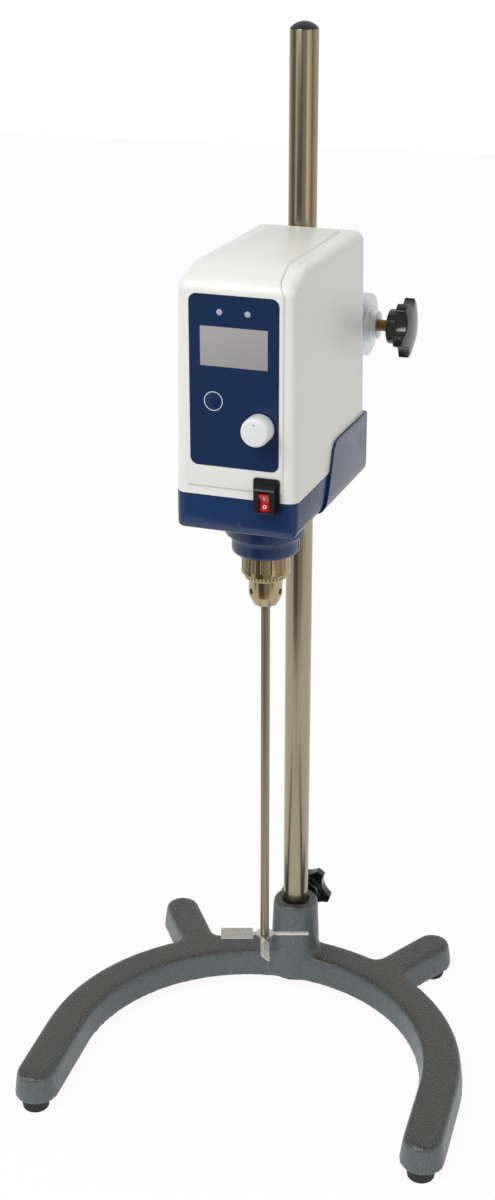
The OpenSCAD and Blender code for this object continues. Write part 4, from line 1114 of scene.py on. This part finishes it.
@dataclass
class Studio:
    """Floor, world, lamps and camera.

    Attributes:
        eye: the camera's place in mm.
        yaw: its turn in degrees.
        pitch: how far it looks down, in degrees.
        roll: its roll in radians.
        lens: its focal length in mm.
        paper: how far back the floor's middle lies, in metres.
        walls: brightness of the room's walls at shares of a full turn.
    """

    eye: tuple[float, float, float] = (384.5, -1448.7, 1096.6)
    yaw: float = 15.60
    pitch: float = 22.716
    roll: float = -0.0016
    lens: float = 54.90
    paper: float = 2.45
    walls: tuple[tuple[float, float], ...] = (
        (0.0, 0.9),
        (0.18, 0.8),
        (0.25, 0.35),
        (0.33, 0.12),
        (0.345, 0.12),
        (0.36, 0.95),
        (0.392, 0.95),
        (0.405, 0.12),
        (0.5, 0.08),
        (0.525, 0.42),
        (0.585, 0.42),
        (0.605, 0.15),
        (0.62, 0.75),
        (0.645, 0.75),
        (0.66, 0.15),
        (0.74, 0.35),
        (0.82, 0.8),
        (1.0, 0.9),
    )

    def floor(self) -> None:
        """Make a plain pale floor that keeps the object's shadow."""
        bm = bmesh.new()
        bmesh.ops.create_grid(bm, x_segments=1, y_segments=1, size=3.0)
        floor = placed("floor", bm, Matrix.Translation((0, self.paper, 0)))
        made = bpy.data.materials.new("pale paper")
        made.use_nodes = True
        tree = made.node_tree
        tree.nodes.clear()
        path = add_node(tree, "ShaderNodeLightPath")
        seen = add_node(
            tree,
            "ShaderNodeMath",
            {"operation": "MAXIMUM"},
            {0: path.outputs["Is Camera Ray"], 1: path.outputs["Is Glossy Ray"]},
        )
        share = add_node(tree, "ShaderNodeMath", {"operation": "MULTIPLY", 1: 0.93}, {0: seen.outputs[0]})
        paper = add_node(tree, "ShaderNodeBsdfDiffuse", {"Color": (0.9, 0.9, 0.9, 1)})
        glow = add_node(tree, "ShaderNodeEmission", {"Color": (1, 1, 1, 1), "Strength": 1.0})
        mix = add_node(
            tree, "ShaderNodeMixShader", links={0: share.outputs[0], 1: paper.outputs[0], 2: glow.outputs[0]}
        )
        add_node(tree, "ShaderNodeOutputMaterial", links={"Surface": mix.outputs[0]})
        floor.data.materials.append(made)

    def world(self) -> None:
        """Light the room evenly; glossy rays meet pale walls with a few darker gaps between them."""
        world = bpy.data.worlds.new("studio")
        world.use_nodes = True
        tree = world.node_tree
        tree.nodes.clear()
        way = add_node(tree, "ShaderNodeTexCoord").outputs["Generated"]
        axes = add_node(tree, "ShaderNodeSeparateXYZ", links={"Vector": way})
        back = add_node(tree, "ShaderNodeMath", {"operation": "MULTIPLY", 1: -1.0}, {0: axes.outputs["Y"]})
        turn = add_node(
            tree, "ShaderNodeMath", {"operation": "ARCTAN2"}, {0: axes.outputs["X"], 1: back.outputs[0]}
        )
        along = add_node(
            tree,
            "ShaderNodeMapRange",
            {"From Min": -math.pi, "From Max": math.pi},
            {"Value": turn.outputs[0]},
        )
        walls = add_node(tree, "ShaderNodeValToRGB", links={"Fac": along.outputs["Result"]})
        ramp = walls.color_ramp
        ramp.elements[0].position, ramp.elements[1].position = self.walls[0][0], self.walls[-1][0]
        for position, _ in self.walls[1:-1]:
            ramp.elements.new(position)
        for element, (_, level) in zip(ramp.elements, self.walls):
            warm = 0.25 * (1 - level)
            element.color = (level, level * (1 - warm / 2), level * (1 - warm), 1)
        path = add_node(tree, "ShaderNodeLightPath")
        plain = add_node(
            tree,
            "ShaderNodeMix",
            {"data_type": "RGBA", 6: (0.55, 0.55, 0.55, 1)},
            {0: path.outputs["Is Glossy Ray"], 7: walls.outputs["Color"]},
        )
        seen = add_node(
            tree,
            "ShaderNodeMix",
            {"data_type": "RGBA", 7: (1, 1, 1, 1)},
            {0: path.outputs["Is Camera Ray"], 6: plain.outputs[2]},
        )
        sky = add_node(tree, "ShaderNodeBackground", {"Strength": 1.0}, {"Color": seen.outputs[2]})
        add_node(tree, "ShaderNodeOutputWorld", links={"Surface": sky.outputs[0]})
        bpy.context.scene.world = world

    def lamp(
        self, name: str, place: tuple[float, float, float], size: float, power: float, blue: float
    ) -> None:
        """Hang a soft square lamp that points at the housing.

        Args:
            name: the lamp's name.
            place: its place in metres.
            size: its side in metres.
            power: its power in watts.
            blue: share of blue in its light.
        """
        light = bpy.data.lights.new(name, "AREA")
        light.energy, light.size = power, size
        light.color = (1.0, (1.0 + blue) / 2, blue)
        obj = bpy.data.objects.new(name, light)
        bpy.context.scene.collection.objects.link(obj)
        aim = Vector((0.0, -0.05, 0.55)) - Vector(place)
        obj.matrix_world = Matrix.Translation(place) @ aim.to_track_quat("-Z", "Y").to_matrix().to_4x4()

    def camera(self) -> None:
        """Place the camera."""
        data = bpy.data.cameras.new("camera")
        data.lens, data.sensor_width, data.clip_end = self.lens, 36.0, 50.0
        obj = bpy.data.objects.new("camera", data)
        bpy.context.scene.collection.objects.link(obj)
        yaw, pitch = math.radians(self.yaw), math.radians(self.pitch)
        ahead = Vector((-math.sin(yaw) * math.cos(pitch), math.cos(yaw) * math.cos(pitch), -math.sin(pitch)))
        facing = ahead.to_track_quat("-Z", "Y").to_matrix().to_4x4()
        place = Matrix.Translation(Vector(self.eye) * MM)
        obj.matrix_world = place @ facing @ Matrix.Rotation(self.roll, 4, "Z")
        bpy.context.scene.camera = obj

    def build(self) -> None:
        """Set up the room."""
        bpy.context.scene.view_settings.view_transform = "Standard"
        self.floor()
        self.world()
        self.lamp("key", (-0.9, -1.7, 2.4), 1.2, 42.0, 1.0)
        self.lamp("fill", (1.9, -1.2, 1.3), 1.6, 6.0, 0.8)
        self.camera()


def main() -> None:
    """Build the stirrer and the studio."""
    logging.basicConfig(level=logging.INFO, format="%(name)s: %(message)s")
    Studio().build()
    Inside().build()
    for assembly in (Stand(), Clamp(), Housing(), Panel(), Drive()):
        assembly.build()


if __name__ == "__main__":
    main()
